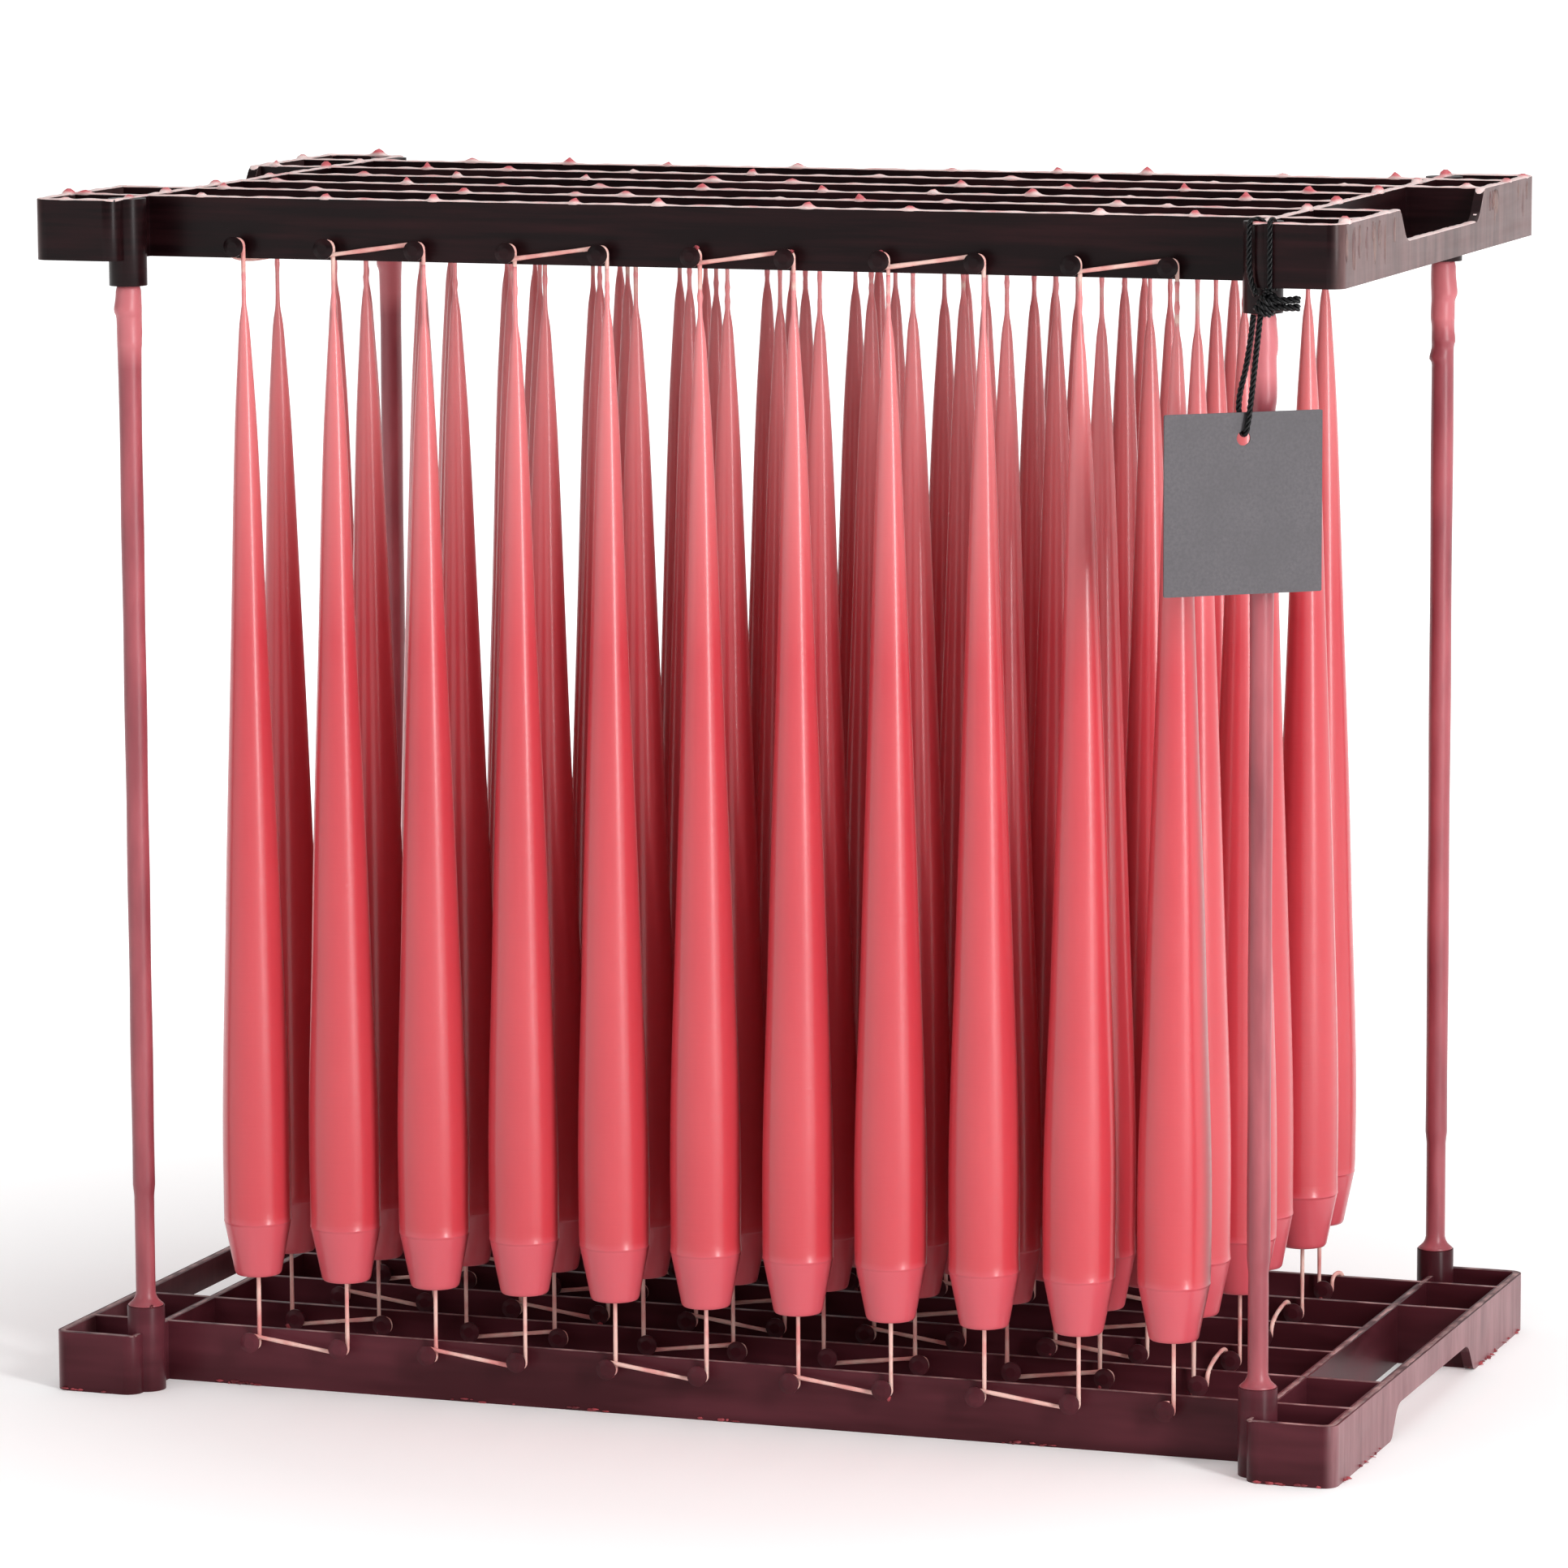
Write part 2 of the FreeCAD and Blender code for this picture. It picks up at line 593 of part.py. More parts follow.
def tag_knot():
    """The knot as a bead with the cut ends of the cord beside it, turned on their common axis."""
    body = doc.addObject("PartDesign::Body", "tag_knot")
    section = new_sketch(body, "knot_section", "XZ_Plane")
    bead, ends, reach = "Sheet.knot_diameter / 2", "Sheet.cord_ends / 2", "Sheet.cord_end_reach"
    outline(section, (
        ("0", f"-{bead}"), (f"{bead} * 0.5", f"-{bead} * 0.87"), (f"{bead} * 0.87", f"-{bead} * 0.5"),
        (bead, "0"), (f"{bead} * 0.87", f"{bead} * 0.5"), (ends, f"{bead} * 0.83"),
        (ends, reach), ("0", reach),
    ))
    revolved(body, "knot_turn", section)
    doc.recompute()
    body.Placement = FreeCAD.Placement(KNOT_AT, FreeCAD.Rotation(Vector(0, 1, 0), 90))
    return keep(body, "tag_knot")


def cord_loop():
    """Two turns of cord, each up the front of the wall, over its rim and down behind it."""
    standoff = sheet.cord_diameter / 2 + CORD_GAP
    front = -sheet.rack_width / 2 - standoff
    behind = -sheet.rack_width / 2 + sheet.side_wall + standoff
    top = sheet.rack_height + standoff
    bottom = sheet.rack_height - sheet.frame_depth - 0.8
    straight = [Vector(LOOP_X, front, bottom), Vector(LOOP_X, front, top),
                Vector(LOOP_X, behind, top), Vector(LOOP_X, behind, bottom)]
    by_corner = [KNOT_AT + Vector(-3.8, 0.4, 2.6), Vector(*CORNER_LOOP, bottom + 2.8),
                 Vector(*CORNER_LOOP, top), Vector(INSIDE_X, behind, top), Vector(INSIDE_X, behind, bottom)]
    turns = [tube("tag cord loop", route, sheet.cord_diameter, 1.3) for route in (by_corner, straight)]
    return soft_part("tag_cord_loop", Part.makeCompound(turns))


def cord_drop():
    """The loop that the card hangs on: down in front of the card, through the hole, up behind."""
    turn = math.radians(sheet.tag_turn)
    ahead = Vector(math.sin(turn), -math.cos(turn), 0)
    lean = DROP_TOP - TAG_HOLE_AT
    seat = TAG_HOLE_AT.z + sheet.tag_hole / 2 - sheet.cord_diameter / 2 - 0.05

    def point(level, off_card):
        return TAG_HOLE_AT + lean * ((level - TAG_HOLE_AT.z) / lean.z) + ahead * off_card

    beside = 1.6
    above_card = TAG_HOLE_AT.z + sheet.tag_hole_inset + 4
    slip = ahead.dot(lean) * (above_card - TAG_HOLE_AT.z) / lean.z
    half = [point(DROP_TOP.z, 1.1), point(above_card, beside - slip), point(seat, beside)]
    mirror = [point(seat, -beside), point(above_card, -beside - slip), point(DROP_TOP.z, -1.1)]
    return soft_part("tag_cord_drop", tube("tag cord drop", half + mirror, sheet.cord_diameter, 1.5))


hang_tag()
tag_knot()
cord_loop()
cord_drop()

# ---------------------------------------------------------------------------
# Check everything, then write one STEP file per sub-part
# ---------------------------------------------------------------------------
doc.recompute()
failed = [item.Label for item in doc.Objects if {"Invalid", "Error"} & set(item.State)]
if failed:
    raise RuntimeError(f"features that failed: {failed}")
for sub_part in parts:
    if sub_part.Shape.isNull() or not sub_part.Shape.isValid():
        raise RuntimeError(f"{sub_part.Label} has no valid shape")

os.makedirs("parts", exist_ok=True)
for sub_part in parts:
    box, shape = sub_part.Shape.BoundBox, sub_part.Shape
    shape.exportStep(f"parts/{sub_part.Label}.step")
    print(f"{sub_part.Label}: {len(shape.Solids)} solids, {shape.Volume / 1000:.2f} cm3, "
          f"z {box.ZMin:.1f} to {box.ZMax:.1f}")
print(f"{len(parts)} parts")
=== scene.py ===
# %% [markdown]
# # A candle dipping rack
# Two moulded lattice frames stand on four steel rods. One long cotton wick runs up and down
# between rows of pegs, and sixty-six taper candles have grown round it, dip by dip. Everything
# near the wax tank wears a little of the wax. The frames, rods and card come from the CAD model.
# What is soft, waxy or twisted is made here, as surfaces worked out with numpy.

import bpy
import numpy as np
from mathutils import Matrix, Vector


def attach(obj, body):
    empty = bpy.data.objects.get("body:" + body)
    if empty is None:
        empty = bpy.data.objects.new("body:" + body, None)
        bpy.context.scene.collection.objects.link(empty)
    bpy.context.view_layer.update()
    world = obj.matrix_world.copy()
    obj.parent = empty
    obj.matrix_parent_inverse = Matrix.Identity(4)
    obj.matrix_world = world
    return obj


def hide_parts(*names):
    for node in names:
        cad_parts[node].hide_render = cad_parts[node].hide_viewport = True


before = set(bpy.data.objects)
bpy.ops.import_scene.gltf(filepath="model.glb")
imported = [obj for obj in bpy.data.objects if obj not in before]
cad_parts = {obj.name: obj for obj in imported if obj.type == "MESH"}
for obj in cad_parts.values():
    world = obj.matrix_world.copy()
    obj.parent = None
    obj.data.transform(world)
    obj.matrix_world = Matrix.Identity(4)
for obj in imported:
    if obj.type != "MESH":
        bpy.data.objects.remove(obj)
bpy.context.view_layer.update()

# %% [markdown]
# ## Sizes
# The model is in metres and a rack is easier to think of in millimetres, so every size below is
# written in millimetres and multiplied once, when a mesh is made. The places of pegs, rails and
# rods are the ones that the frame was moulded with.

# %% Sizes of the rack, in millimetres
MM = 0.001
ROWS, COLUMNS = 6, 11
HEIGHT, FRAME_DEPTH = 400.0, 20.0
HALF_LENGTH, HALF_WIDTH = 222.5, 124.3
RAIL_PITCH, CANDLE_PITCH = 38.5, 32.0
ROD_X, ROD_Y = 193.8, 112.2
RAIL_WALL, CROSS_WALL, END_WALL, SIDE_WALL = 2.6, 2.8, 3.2, 3.0
PEG_INSET = 4.0
PEG_LOW, PEG_HIGH = FRAME_DEPTH - PEG_INSET, HEIGHT - FRAME_DEPTH + PEG_INSET
NOTCH_MOUTH, NOTCH_ROOT, NOTCH_DEPTH = 108.0, 92.0, 10.5
WELD_GAP = 0.02
WICK_RADIUS, WICK_WRAP, WICK_CLEARANCE, LINK_LIFT = 0.65, 2.3, 1.2, 0.3
WICK_STANDOFF, TAIL_STANDOFF, LINK_STANDOFF = 4.0, 4.58, 5.75
CORNERS = {"front_left": (-1, -1), "front_right": (1, -1),
           "back_left": (-1, 1), "back_right": (1, 1)}


def rail_y(row):
    """Rows are numbered from the front, and the six rails are spaced evenly about the middle."""
    return (row - (ROWS + 1) / 2) * RAIL_PITCH


def column_x(column):
    """Columns are numbered from the left, spaced evenly about the middle."""
    return (column - (COLUMNS + 1) / 2) * CANDLE_PITCH


def side_of(row):
    """The wick runs on the right of its pegs in odd rows and on the left in even rows."""
    return 1 if row % 2 else -1


print("rails at", [rail_y(row) for row in range(1, ROWS + 1)])

# %% [markdown]
# ## Camera
# A long lens from well back keeps the uprights nearly parallel. The camera stands to the right
# of the front and a little above the top frame, so it looks down on the rims.

# %% Camera
azimuth, elevation, roll = np.radians((19.546, 8.347, -0.261))
CAMERA_PLACE = (0.82365, -2.33505, 0.56171)
back = np.array((np.sin(azimuth) * np.cos(elevation), -np.cos(azimuth) * np.cos(elevation),
                 np.sin(elevation)))
level_right = np.array((np.cos(azimuth), np.sin(azimuth), 0.0))
level_up = np.cross(back, level_right)
right = np.cos(roll) * level_right + np.sin(roll) * level_up
up = -np.sin(roll) * level_right + np.cos(roll) * level_up

camera = bpy.data.objects.new("camera", bpy.data.cameras.new("camera"))
bpy.context.scene.collection.objects.link(camera)
pose = np.eye(4)
pose[:3, 0], pose[:3, 1], pose[:3, 2], pose[:3, 3] = right, up, back, CAMERA_PLACE
camera.matrix_world = Matrix(pose.tolist())
camera.data.lens, camera.data.sensor_width = 169.92, 36.0
camera.data.clip_start, camera.data.clip_end = 0.05, 50.0
bpy.context.scene.camera = camera
print("camera", [round(value, 3) for value in camera.location])

# %% [markdown]
# ## Making meshes from arrays
# A tube is a circle carried along a path, and a candle is a circle whose radius depends on its
# height. Both are a grid of points: one row of the grid for each ring, one column for each place
# round it. The whole grid is worked out at once and handed to the mesh as arrays.

# %% Helpers for meshes
REFERENCE = np.array((0.50, 0.62, 0.60))


def unit(vectors):
    """Each vector divided by its length."""
    return vectors / np.linalg.norm(vectors, axis=-1, keepdims=True)


def grid_faces(rings, sides):
    """Four-sided faces between neighbouring rings, and one many-sided face at each end."""
    ring, side = np.meshgrid(np.arange(rings - 1), np.arange(sides), indexing="ij")
    after = (side + 1) % sides
    quads = np.stack((ring * sides + side, ring * sides + after,
                      (ring + 1) * sides + after, (ring + 1) * sides + side), axis=-1)
    first, last = np.arange(sides)[::-1], np.arange(sides) + (rings - 1) * sides
    return quads.reshape(-1, 4).tolist() + [first.tolist(), last.tolist()]


def joined(shapes):
    """Several (points, faces) as one, with each shape's faces counting from its own first point."""
    starts = np.cumsum([0] + [len(points) for points, faces in shapes])
    faces = [[start + corner for corner in face]
             for start, (_, own) in zip(starts.tolist(), shapes) for face in own]
    return np.concatenate([points for points, _ in shapes]), faces


def travelled(line):
    """How far along the line each of its points is."""
    return np.concatenate(([0.0], np.cumsum(np.linalg.norm(np.diff(line, axis=0), axis=1))))


def side_vectors(line, reference):
    """Two vectors square to the line and to each other at every point: its direction crossed
    with a fixed reference, and its direction crossed with that."""
    direction = unit(np.gradient(line, axis=0))
    normal = unit(np.cross(direction, reference))
    return normal, np.cross(direction, normal)


def swept(path, across, sides=8, reference=REFERENCE):
    """Rings carried along a path: centre + across * (cos(angle) * normal + sin(angle) * binormal)."""
    normal, binormal = side_vectors(path, reference)
    angle = np.linspace(0, 2 * np.pi, sides, endpoint=False)
    radius = np.broadcast_to(np.asarray(across, float).reshape(-1, 1), (len(path), sides))
    rings = (path[:, None] + (radius * np.cos(angle))[..., None] * normal[:, None]
             + (radius * np.sin(angle))[..., None] * binormal[:, None])
    return rings.reshape(-1, 3), grid_faces(len(path), sides)


def make_piece(name, shape, finish, body="rack"):
    """A smooth-shaded piece from (points in millimetres, faces), riding on its body."""
    points, faces = shape
    mesh = bpy.data.meshes.new(name)
    mesh.from_pydata((points * MM).tolist(), [], faces)
    mesh.validate()
    mesh.shade_smooth()
    mesh.materials.append(finish)
    made = bpy.data.objects.new(name, mesh)
    bpy.context.scene.collection.objects.link(made)
    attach(made, body)
    return made


def finish_node(name, finish):
    """Gives a CAD node its finish. Its mesh stays as it is, and the node is returned."""
    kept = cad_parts[name]
    kept.data.materials.clear()
    kept.data.materials.append(finish)
    return kept


def ease_edges(kept, width, angle):
    """Closes the seams of a CAD mesh and rounds the edges that turn by more than the angle."""
    weld = kept.modifiers.new("weld", "WELD")
    weld.merge_threshold = WELD_GAP * MM
    edge = kept.modifiers.new("fine_round", "BEVEL")
    edge.width, edge.segments, edge.limit_method = width * MM, 2, "ANGLE"
    edge.angle_limit = np.radians(angle)


print("mesh helpers ready")

# %% [markdown]
# ## Making materials from nodes
# Colours are written as they look on a screen, in hex, and turned to linear light once. One
# function adds a node with its settings and its links, and the others call it for the nodes that
# come up again and again. A pattern's scale comes from a real size: noise of scale S on metres
# has patches of about 1 / S metres.

# %% Helpers for materials
def linear(hex_colour):
    """Linear light from an sRGB colour: ((c + 0.055) / 1.055) ** 2.4, or c / 12.92 when dark."""
    screen = np.array([int(hex_colour[start:start + 2], 16) for start in (1, 3, 5)]) / 255
    light = np.where(screen <= 0.04045, screen / 12.92, ((screen + 0.055) / 1.055) ** 2.4)
    return (*light.tolist(), 1.0)


def node(tree, kind, inputs=None, **settings):
    """One node with its settings; an input is a value, or the output that feeds it."""
    made = tree.nodes.new(kind)
    for name, value in settings.items():
        setattr(made, name, value)
    for socket, value in (inputs or {}).items():
        if isinstance(value, bpy.types.NodeSocket):
            tree.links.new(value, made.inputs[socket])
        else:
            made.inputs[socket].default_value = value
    return made


def start_material(name, **uniform):
    """A material with one Principled shader; uniform values go straight onto its sockets."""
    material = bpy.data.materials.new(name)
    material.use_nodes = True
    tree = material.node_tree
    shader = tree.nodes["Principled BSDF"]
    for socket, value in uniform.items():
        shader.inputs[socket.replace("_", " ")].default_value = value
    place = node(tree, "ShaderNodeTexCoord").outputs["Object"]
    return material, tree, shader, place


def feed(tree, shader, **sources):
    """Links each source to the shader's socket of that name."""
    for socket, source in sources.items():
        tree.links.new(source, shader.inputs[socket.replace("_", " ")])


def noise(tree, place, size, detail=2.0, roughness=0.5):
    """Noise whose patches are size millimetres: one number, or one for each of x, y and z."""
    scale = 1.0 if isinstance(size, tuple) else 1000 / size
    if isinstance(size, tuple):
        scales = [1000 / side for side in size]
        place = node(tree, "ShaderNodeMapping", {"Vector": place, "Scale": scales}).outputs[0]
    return node(tree, "ShaderNodeTexNoise", {"Vector": place, "Scale": scale, "Detail": detail,
                                             "Roughness": roughness}).outputs[0]


def remap(tree, value, start=0.0, end=1.0, low=0.0, high=1.0):
    """A value that runs from start to end brought between low and high, and kept there."""
    return node(tree, "ShaderNodeMapRange", {"Value": value, "From Min": start, "From Max": end,
                                             "To Min": low, "To Max": high}).outputs[0]


def mixed(tree, share, first, second):
    """A colour between two others, each a hex colour or what another node gives."""
    first, second = (linear(tone) if isinstance(tone, str) else tone for tone in (first, second))
    return node(tree, "ShaderNodeMix", {0: share, 6: first, 7: second}, data_type="RGBA").outputs[2]


def maths(tree, operation, *values):
    """One operation on one or two values."""
    return node(tree, "ShaderNodeMath", dict(enumerate(values)), operation=operation).outputs[0]


def bumped(tree, height, strength, distance):
    """A normal tilted by a pattern of heights that reach distance metres."""
    return node(tree, "ShaderNodeBump", {"Height": height, "Strength": strength,
                                         "Distance": distance}).outputs[0]


print("coral is", [round(value, 3) for value in linear("#D85F66")])

# %% [markdown]
# ## The tag's cord
# The card hangs on a black twisted cord, 2 mm thick and cut off short. It goes twice over the
# front wall, is tied in one knot under it, and drops as a loop through the hole in the card. A
# cord is a length of something limp, so its line is a smooth spline through the few points of its
# route, and three strands wind round that line. Strands that touch each other inside a cord of
# radius R have a radius of 0.464 R and their middles lie 0.536 R from its line.

# %% Polished black twine
# Tightly twisted waxed cotton, nearly black, with a fine grey glint along each strand.
twine, tree, shader, place = start_material("twisted_black_twine", Roughness=0.30, Specular_IOR_Level=0.22)
fibres = noise(tree, place, (0.4, 0.4, 1.5), 3.0)
feed(tree, shader, Base_Color=mixed(tree, fibres, "#020203", "#0C0C0E"),
     Normal=bumped(tree, fibres, 0.5, 0.0002))
print(twine.name)

# %% The cord's line and its strands
CORD_RADIUS, TWIST_PITCH = 1.0, 5.8
STRAND_SIZE, STRAND_OFFSET = 0.464, 0.536


def smooth_line(route, resolution=10):
    """Points, in millimetres, read from the NURBS spline that has the route as its control points."""
    curve = bpy.data.curves.new("route", "CURVE")
    curve.dimensions = "3D"
    spline = curve.splines.new("NURBS")
    spline.points.add(len(route) - 1)
    weighted = np.column_stack((np.array(route) * MM, np.ones(len(route))))
    spline.points.foreach_set("co", weighted.ravel())
    spline.order_u, spline.use_endpoint_u = 3, True
    spline.resolution_u = resolution
    holder = bpy.data.objects.new("route", curve)
    line = bpy.data.meshes.new_from_object(holder)
    points = np.empty(len(line.vertices) * 3)
    line.vertices.foreach_get("co", points)
    bpy.data.objects.remove(holder)
    return points.reshape(-1, 3) / MM


def evenly(line, step):
    """The same line with its points a step apart, by its length."""
    length = travelled(line)
    at = np.linspace(0, length[-1], max(3, int(np.ceil(length[-1] / step)) + 1))
    return np.stack([np.interp(at, length, line[:, axis]) for axis in range(3)], axis=1)


def twisted(line, radius=CORD_RADIUS, fray=0.0, reference=REFERENCE):
    """Three strands round a line: each middle is the line + 0.536 radius * (cos, sin) of the angle
    360 degrees * distance / pitch + a third of a turn per strand; fray spreads the far end."""
    normal, binormal = side_vectors(line, reference)
    distance = travelled(line)
    spread = STRAND_OFFSET * radius + fray * np.clip((distance - distance[-1]) / 4.0 + 1, 0, 1) ** 2
    strands = []
    for strand in range(3):
        angle = 2 * np.pi * (distance / TWIST_PITCH + strand / 3)
        middle = line + spread[:, None] * (np.cos(angle)[:, None] * normal
                                           + np.sin(angle)[:, None] * binormal)
        strands.append(swept(middle, STRAND_SIZE * radius, sides=7, reference=reference))
    return joined(strands)


drop_route = ((196.75, -125.70, 371.7), (195.25, -125.69, 358.0), (194.02, -126.06, 345.4),
              (193.18, -126.72, 337.75), (192.62, -127.26, 334.55), (190.65, -124.74, 334.55),
              (190.11, -125.06, 337.75), (189.53, -125.51, 345.4), (193.18, -126.31, 358.0),
              (194.69, -126.30, 371.7))
corner_turn = ((195.4, -125.6, 377.8), (192.4, -123.6, 382.0), (192.4, -123.6, 396.0),
               (192.4, -123.6, 401.1), (196.4, -120.2, 401.1), (196.4, -120.2, 396.0),
               (196.4, -120.2, 379.2))
straight_turn = ((199.6, -125.4, 379.2), (199.6, -125.4, 396.0), (199.6, -125.4, 401.1),
                 (199.6, -120.2, 401.1), (199.6, -120.2, 396.0), (199.6, -120.2, 379.2))

CARD_SIDE = np.array((0.788, 0.616, 0.0))
drop_line = evenly(smooth_line(drop_route), 0.4)
drop_shape = twisted(drop_line, reference=CARD_SIDE)
cord_drop = make_piece("tag_cord_strands", drop_shape, twine, "tag")
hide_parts("tag_cord_drop")
turns = joined([twisted(evenly(smooth_line(route), 0.4), reference=np.array(reference))
                for route, reference in ((corner_turn, (0.65, -0.76, 0.0)),
                                         (straight_turn, (1.0, 0.0, 0.0)))])
cord_turns = make_piece("tag_cord_turns", turns, twine)
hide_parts("tag_cord_loop")

# %% [markdown]
# The knot is a barrel knot drawn tight: the cord winds three times round itself and the two cut
# ends stick out beside it, where their strands open because the twist is lost. A core of the
# same twine fills the barrel, as the cord inside the knot does.

# %% Knot and cut ends
KNOT = np.array((199.2, -126.0, 375.2))
BARREL_RADIUS, BARREL_PITCH, BARREL_TURNS = 2.35, 1.9, 3.1
barrel_axis = unit(np.array((0.55, -0.10, 0.83)))
barrel_side = unit(np.cross(barrel_axis, (0.0, 1.0, 0.0)))
barrel_front = np.cross(barrel_axis, barrel_side)
winding = np.linspace(0, 2 * np.pi * BARREL_TURNS, 150)[:, None]
barrel = KNOT + (BARREL_RADIUS * (np.cos(winding) * barrel_side + np.sin(winding) * barrel_front)
                 + BARREL_PITCH * (winding / (2 * np.pi) - BARREL_TURNS / 2) * barrel_axis)
core = KNOT + np.linspace(-3.4, 3.4, 12)[:, None] * barrel_axis
core_radius = 1.9 * np.sqrt(1 - np.linspace(-0.9, 0.9, 12) ** 2)
cut_ends = [
    ((0.5, -1.6, 1.0), (3.4, -1.9, 1.3), (6.8, -1.5, 1.4), (10.6, -1.6, 1.9)),
    ((0.5, -1.4, -1.0), (3.6, -1.6, -0.9), (6.8, -1.6, -0.8), (10.5, -1.4, -0.6)),
]
strands = [twisted(barrel, radius=1.2, reference=barrel_axis), swept(core, core_radius, sides=12)]
strands += [twisted(evenly(smooth_line(np.array(end) + KNOT), 0.4), radius=1.2, fray=0.12)
            for end in cut_ends]
knot = make_piece("tag_cord_knot", joined(strands), twine, "knot")
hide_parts("tag_knot")
print("the knot has", len(knot.data.polygons), "faces")

# %% [markdown]
# ## Dipped candle wax
# Stearin and paraffin, dyed through, laid on in some thirty coats. Light goes a few millimetres
# into it and comes out redder, so the skin is satin, never mirror bright. Each dip leaves a faint
# level line, and the tapered foot, which is cut in the last pass, shows finer rings.

# %% Dipped candle wax
candle_wax, tree, shader, place = start_material(
    "dipped_candle_wax", Subsurface_Weight=0.20, Subsurface_Radius=(1.0, 0.30, 0.25),
    Subsurface_Scale=0.004, IOR=1.45, Coat_Weight=0.45, Coat_Roughness=0.18)
height = node(tree, "ShaderNodeSeparateXYZ", {"Vector": place}).outputs[2]
body_tone = mixed(tree, noise(tree, place, (22, 22, 60)), "#C43743", "#D0474F")
foot_tone = mixed(tree, remap(tree, height, 0.0575, 0.0600), "#D05560", body_tone)
# The taper is so thin near its tip that light comes through, so it looks paler there.
tip_tone = mixed(tree, remap(tree, height, 0.255, 0.366, high=0.80), foot_tone, "#E68F90")
dip_lines = noise(tree, place, (40, 40, 1.6), 4.0)
feed(tree, shader, Base_Color=tip_tone, Roughness=remap(tree, dip_lines, low=0.28, high=0.40),
     Normal=bumped(tree, dip_lines, 0.22, 0.0003))
print(candle_wax.name)

# %% [markdown]
# ## The candles
# A taper is a surface of revolution: its radius is a smooth function of height through a few
# measured stations. The foot is a straight cone, so its shoulder stays crisp. No two dipped
# candles are alike, so each has its own girth, a slight bow, its own tip height and its own
# thin sleeve of wax that runs up the wick. Two candles that share a loop of wick are one piece.

# %% The taper's profile
STATION_LEVELS = np.array((58.0, 82.0, 160.0, 258.0, 323.0, 348.0, 359.0, 363.0))
STATION_RADII = np.array((12.0, 12.1, 9.9, 6.4, 4.0, 2.5, 1.7, 1.05))
FOOT_END, TIP, SLEEVE_END = 39.4, 363.0, 379.5
FOOT_LEVELS = np.array((FOOT_END, FOOT_END, 39.5, 39.9, 40.5, 41.0, 45.5, 50.0, 54.0, 57.0,
                        57.5, 57.6, 57.85, 58.1))
FOOT_RADII = np.array((1.0, 7.4, 7.8, 8.15, 8.4, 8.5, 9.42, 10.35, 11.17, 11.79,
                       11.88, 12.00, 12.07, 12.06))


def monotone_curve(levels, values, at):
    """A cubic between stations whose slope at each is the harmonic mean of its two neighbours'
    slopes, or zero where they differ in sign, so that it never swells past a station."""
    step, rise = np.diff(levels), np.diff(values)
    slope = rise / step
    before, after = slope[:-1], slope[1:]
    agree = before * after > 0
    middle = np.where(agree, 2 * before * after / np.where(agree, before + after, 1), 0)
    slopes = np.concatenate(([0.0], middle, [slope[-1]]))
    cell = np.clip(np.searchsorted(levels, at) - 1, 0, len(step) - 1)
    share = (at - levels[cell]) / step[cell]
    return (values[cell] * (1 + 2 * share) * (1 - share) ** 2
            + values[cell + 1] * share ** 2 * (3 - 2 * share)
            + step[cell] * share * (1 - share) * (slopes[cell] * (1 - share) - slopes[cell + 1] * share))


body_levels = np.concatenate((np.linspace(58.3, 84, 8), np.linspace(92, 330, 34),
                              np.linspace(334, TIP, 13)))
body_radii = monotone_curve(STATION_LEVELS, STATION_RADII, body_levels)
sleeve_levels = np.linspace(364.5, SLEEVE_END, 14)
TAPER_LEVELS = np.concatenate((FOOT_LEVELS, body_levels, sleeve_levels))
TAPER_RADII = np.concatenate((FOOT_RADII, body_radii, 0.68 + 0.34 * np.exp(-(sleeve_levels - TIP) / 2.0)))
print("a taper has", len(TAPER_LEVELS), "rings, widest", TAPER_RADII.max().round(2), "mm radius")


# %% One candle
SIDES, LIFTED_ABOVE = 40, 200.0


def candle(row, column):
    """Rings of radius * girth * (1 + a slow ripple) round a middle that bows by a half sine
    between foot and tip; beads on the sleeve are bell curves added to the radius. The tip is
    lifted or lowered, and the levels round it go with it in part."""
    chance = np.random.default_rng(1000 * row + column)
    x = column_x(column) + side_of(row) * WICK_WRAP
    y = rail_y(row) - WICK_STANDOFF
    girth = 0.94 if (row, column) == (1, 1) else chance.uniform(0.965, 1.0)
    lift, bow, heading = chance.uniform(-5, 3), chance.uniform(0.1, 0.8), chance.uniform(0, 2 * np.pi)
    share = np.clip((TAPER_LEVELS - FOOT_END) / (TIP - FOOT_END), 0, 1)
    raised = np.clip((TAPER_LEVELS - LIFTED_ABOVE) / (TIP - LIFTED_ABOVE), 0, 1) ** 2
    settled = np.clip((SLEEVE_END - TAPER_LEVELS) / (SLEEVE_END - TIP), 0, 1)
    levels = TAPER_LEVELS + lift * raised * np.where(TAPER_LEVELS > TIP, settled, 1)
    on_body = (TAPER_LEVELS > 60) & (TAPER_LEVELS < 362)
    ripple = 1 + on_body * 0.006 * np.sin(TAPER_LEVELS / chance.uniform(14, 26) + chance.uniform(0, 6))
    beads = np.zeros_like(levels)
    for place_of_bead in chance.uniform(366, 379, 2):
        beads += chance.uniform(0.05, 0.28) * np.exp(-((TAPER_LEVELS - place_of_bead) / 1.3) ** 2)
    radii = TAPER_RADII * np.where(TAPER_LEVELS < 362, girth, 1) * ripple + beads
    angle = np.linspace(0, 2 * np.pi, SIDES, endpoint=False)
    oval = 1 + 0.012 * np.cos(2 * (angle - heading))[None, :] * on_body[:, None]
    out = bow * np.sin(np.pi * share)
    return np.stack((x + out[:, None] * np.cos(heading) + radii[:, None] * oval * np.cos(angle),
                     y + out[:, None] * np.sin(heading) + radii[:, None] * oval * np.sin(angle),
                     np.broadcast_to(levels[:, None], oval.shape)), axis=-1).reshape(-1, 3)


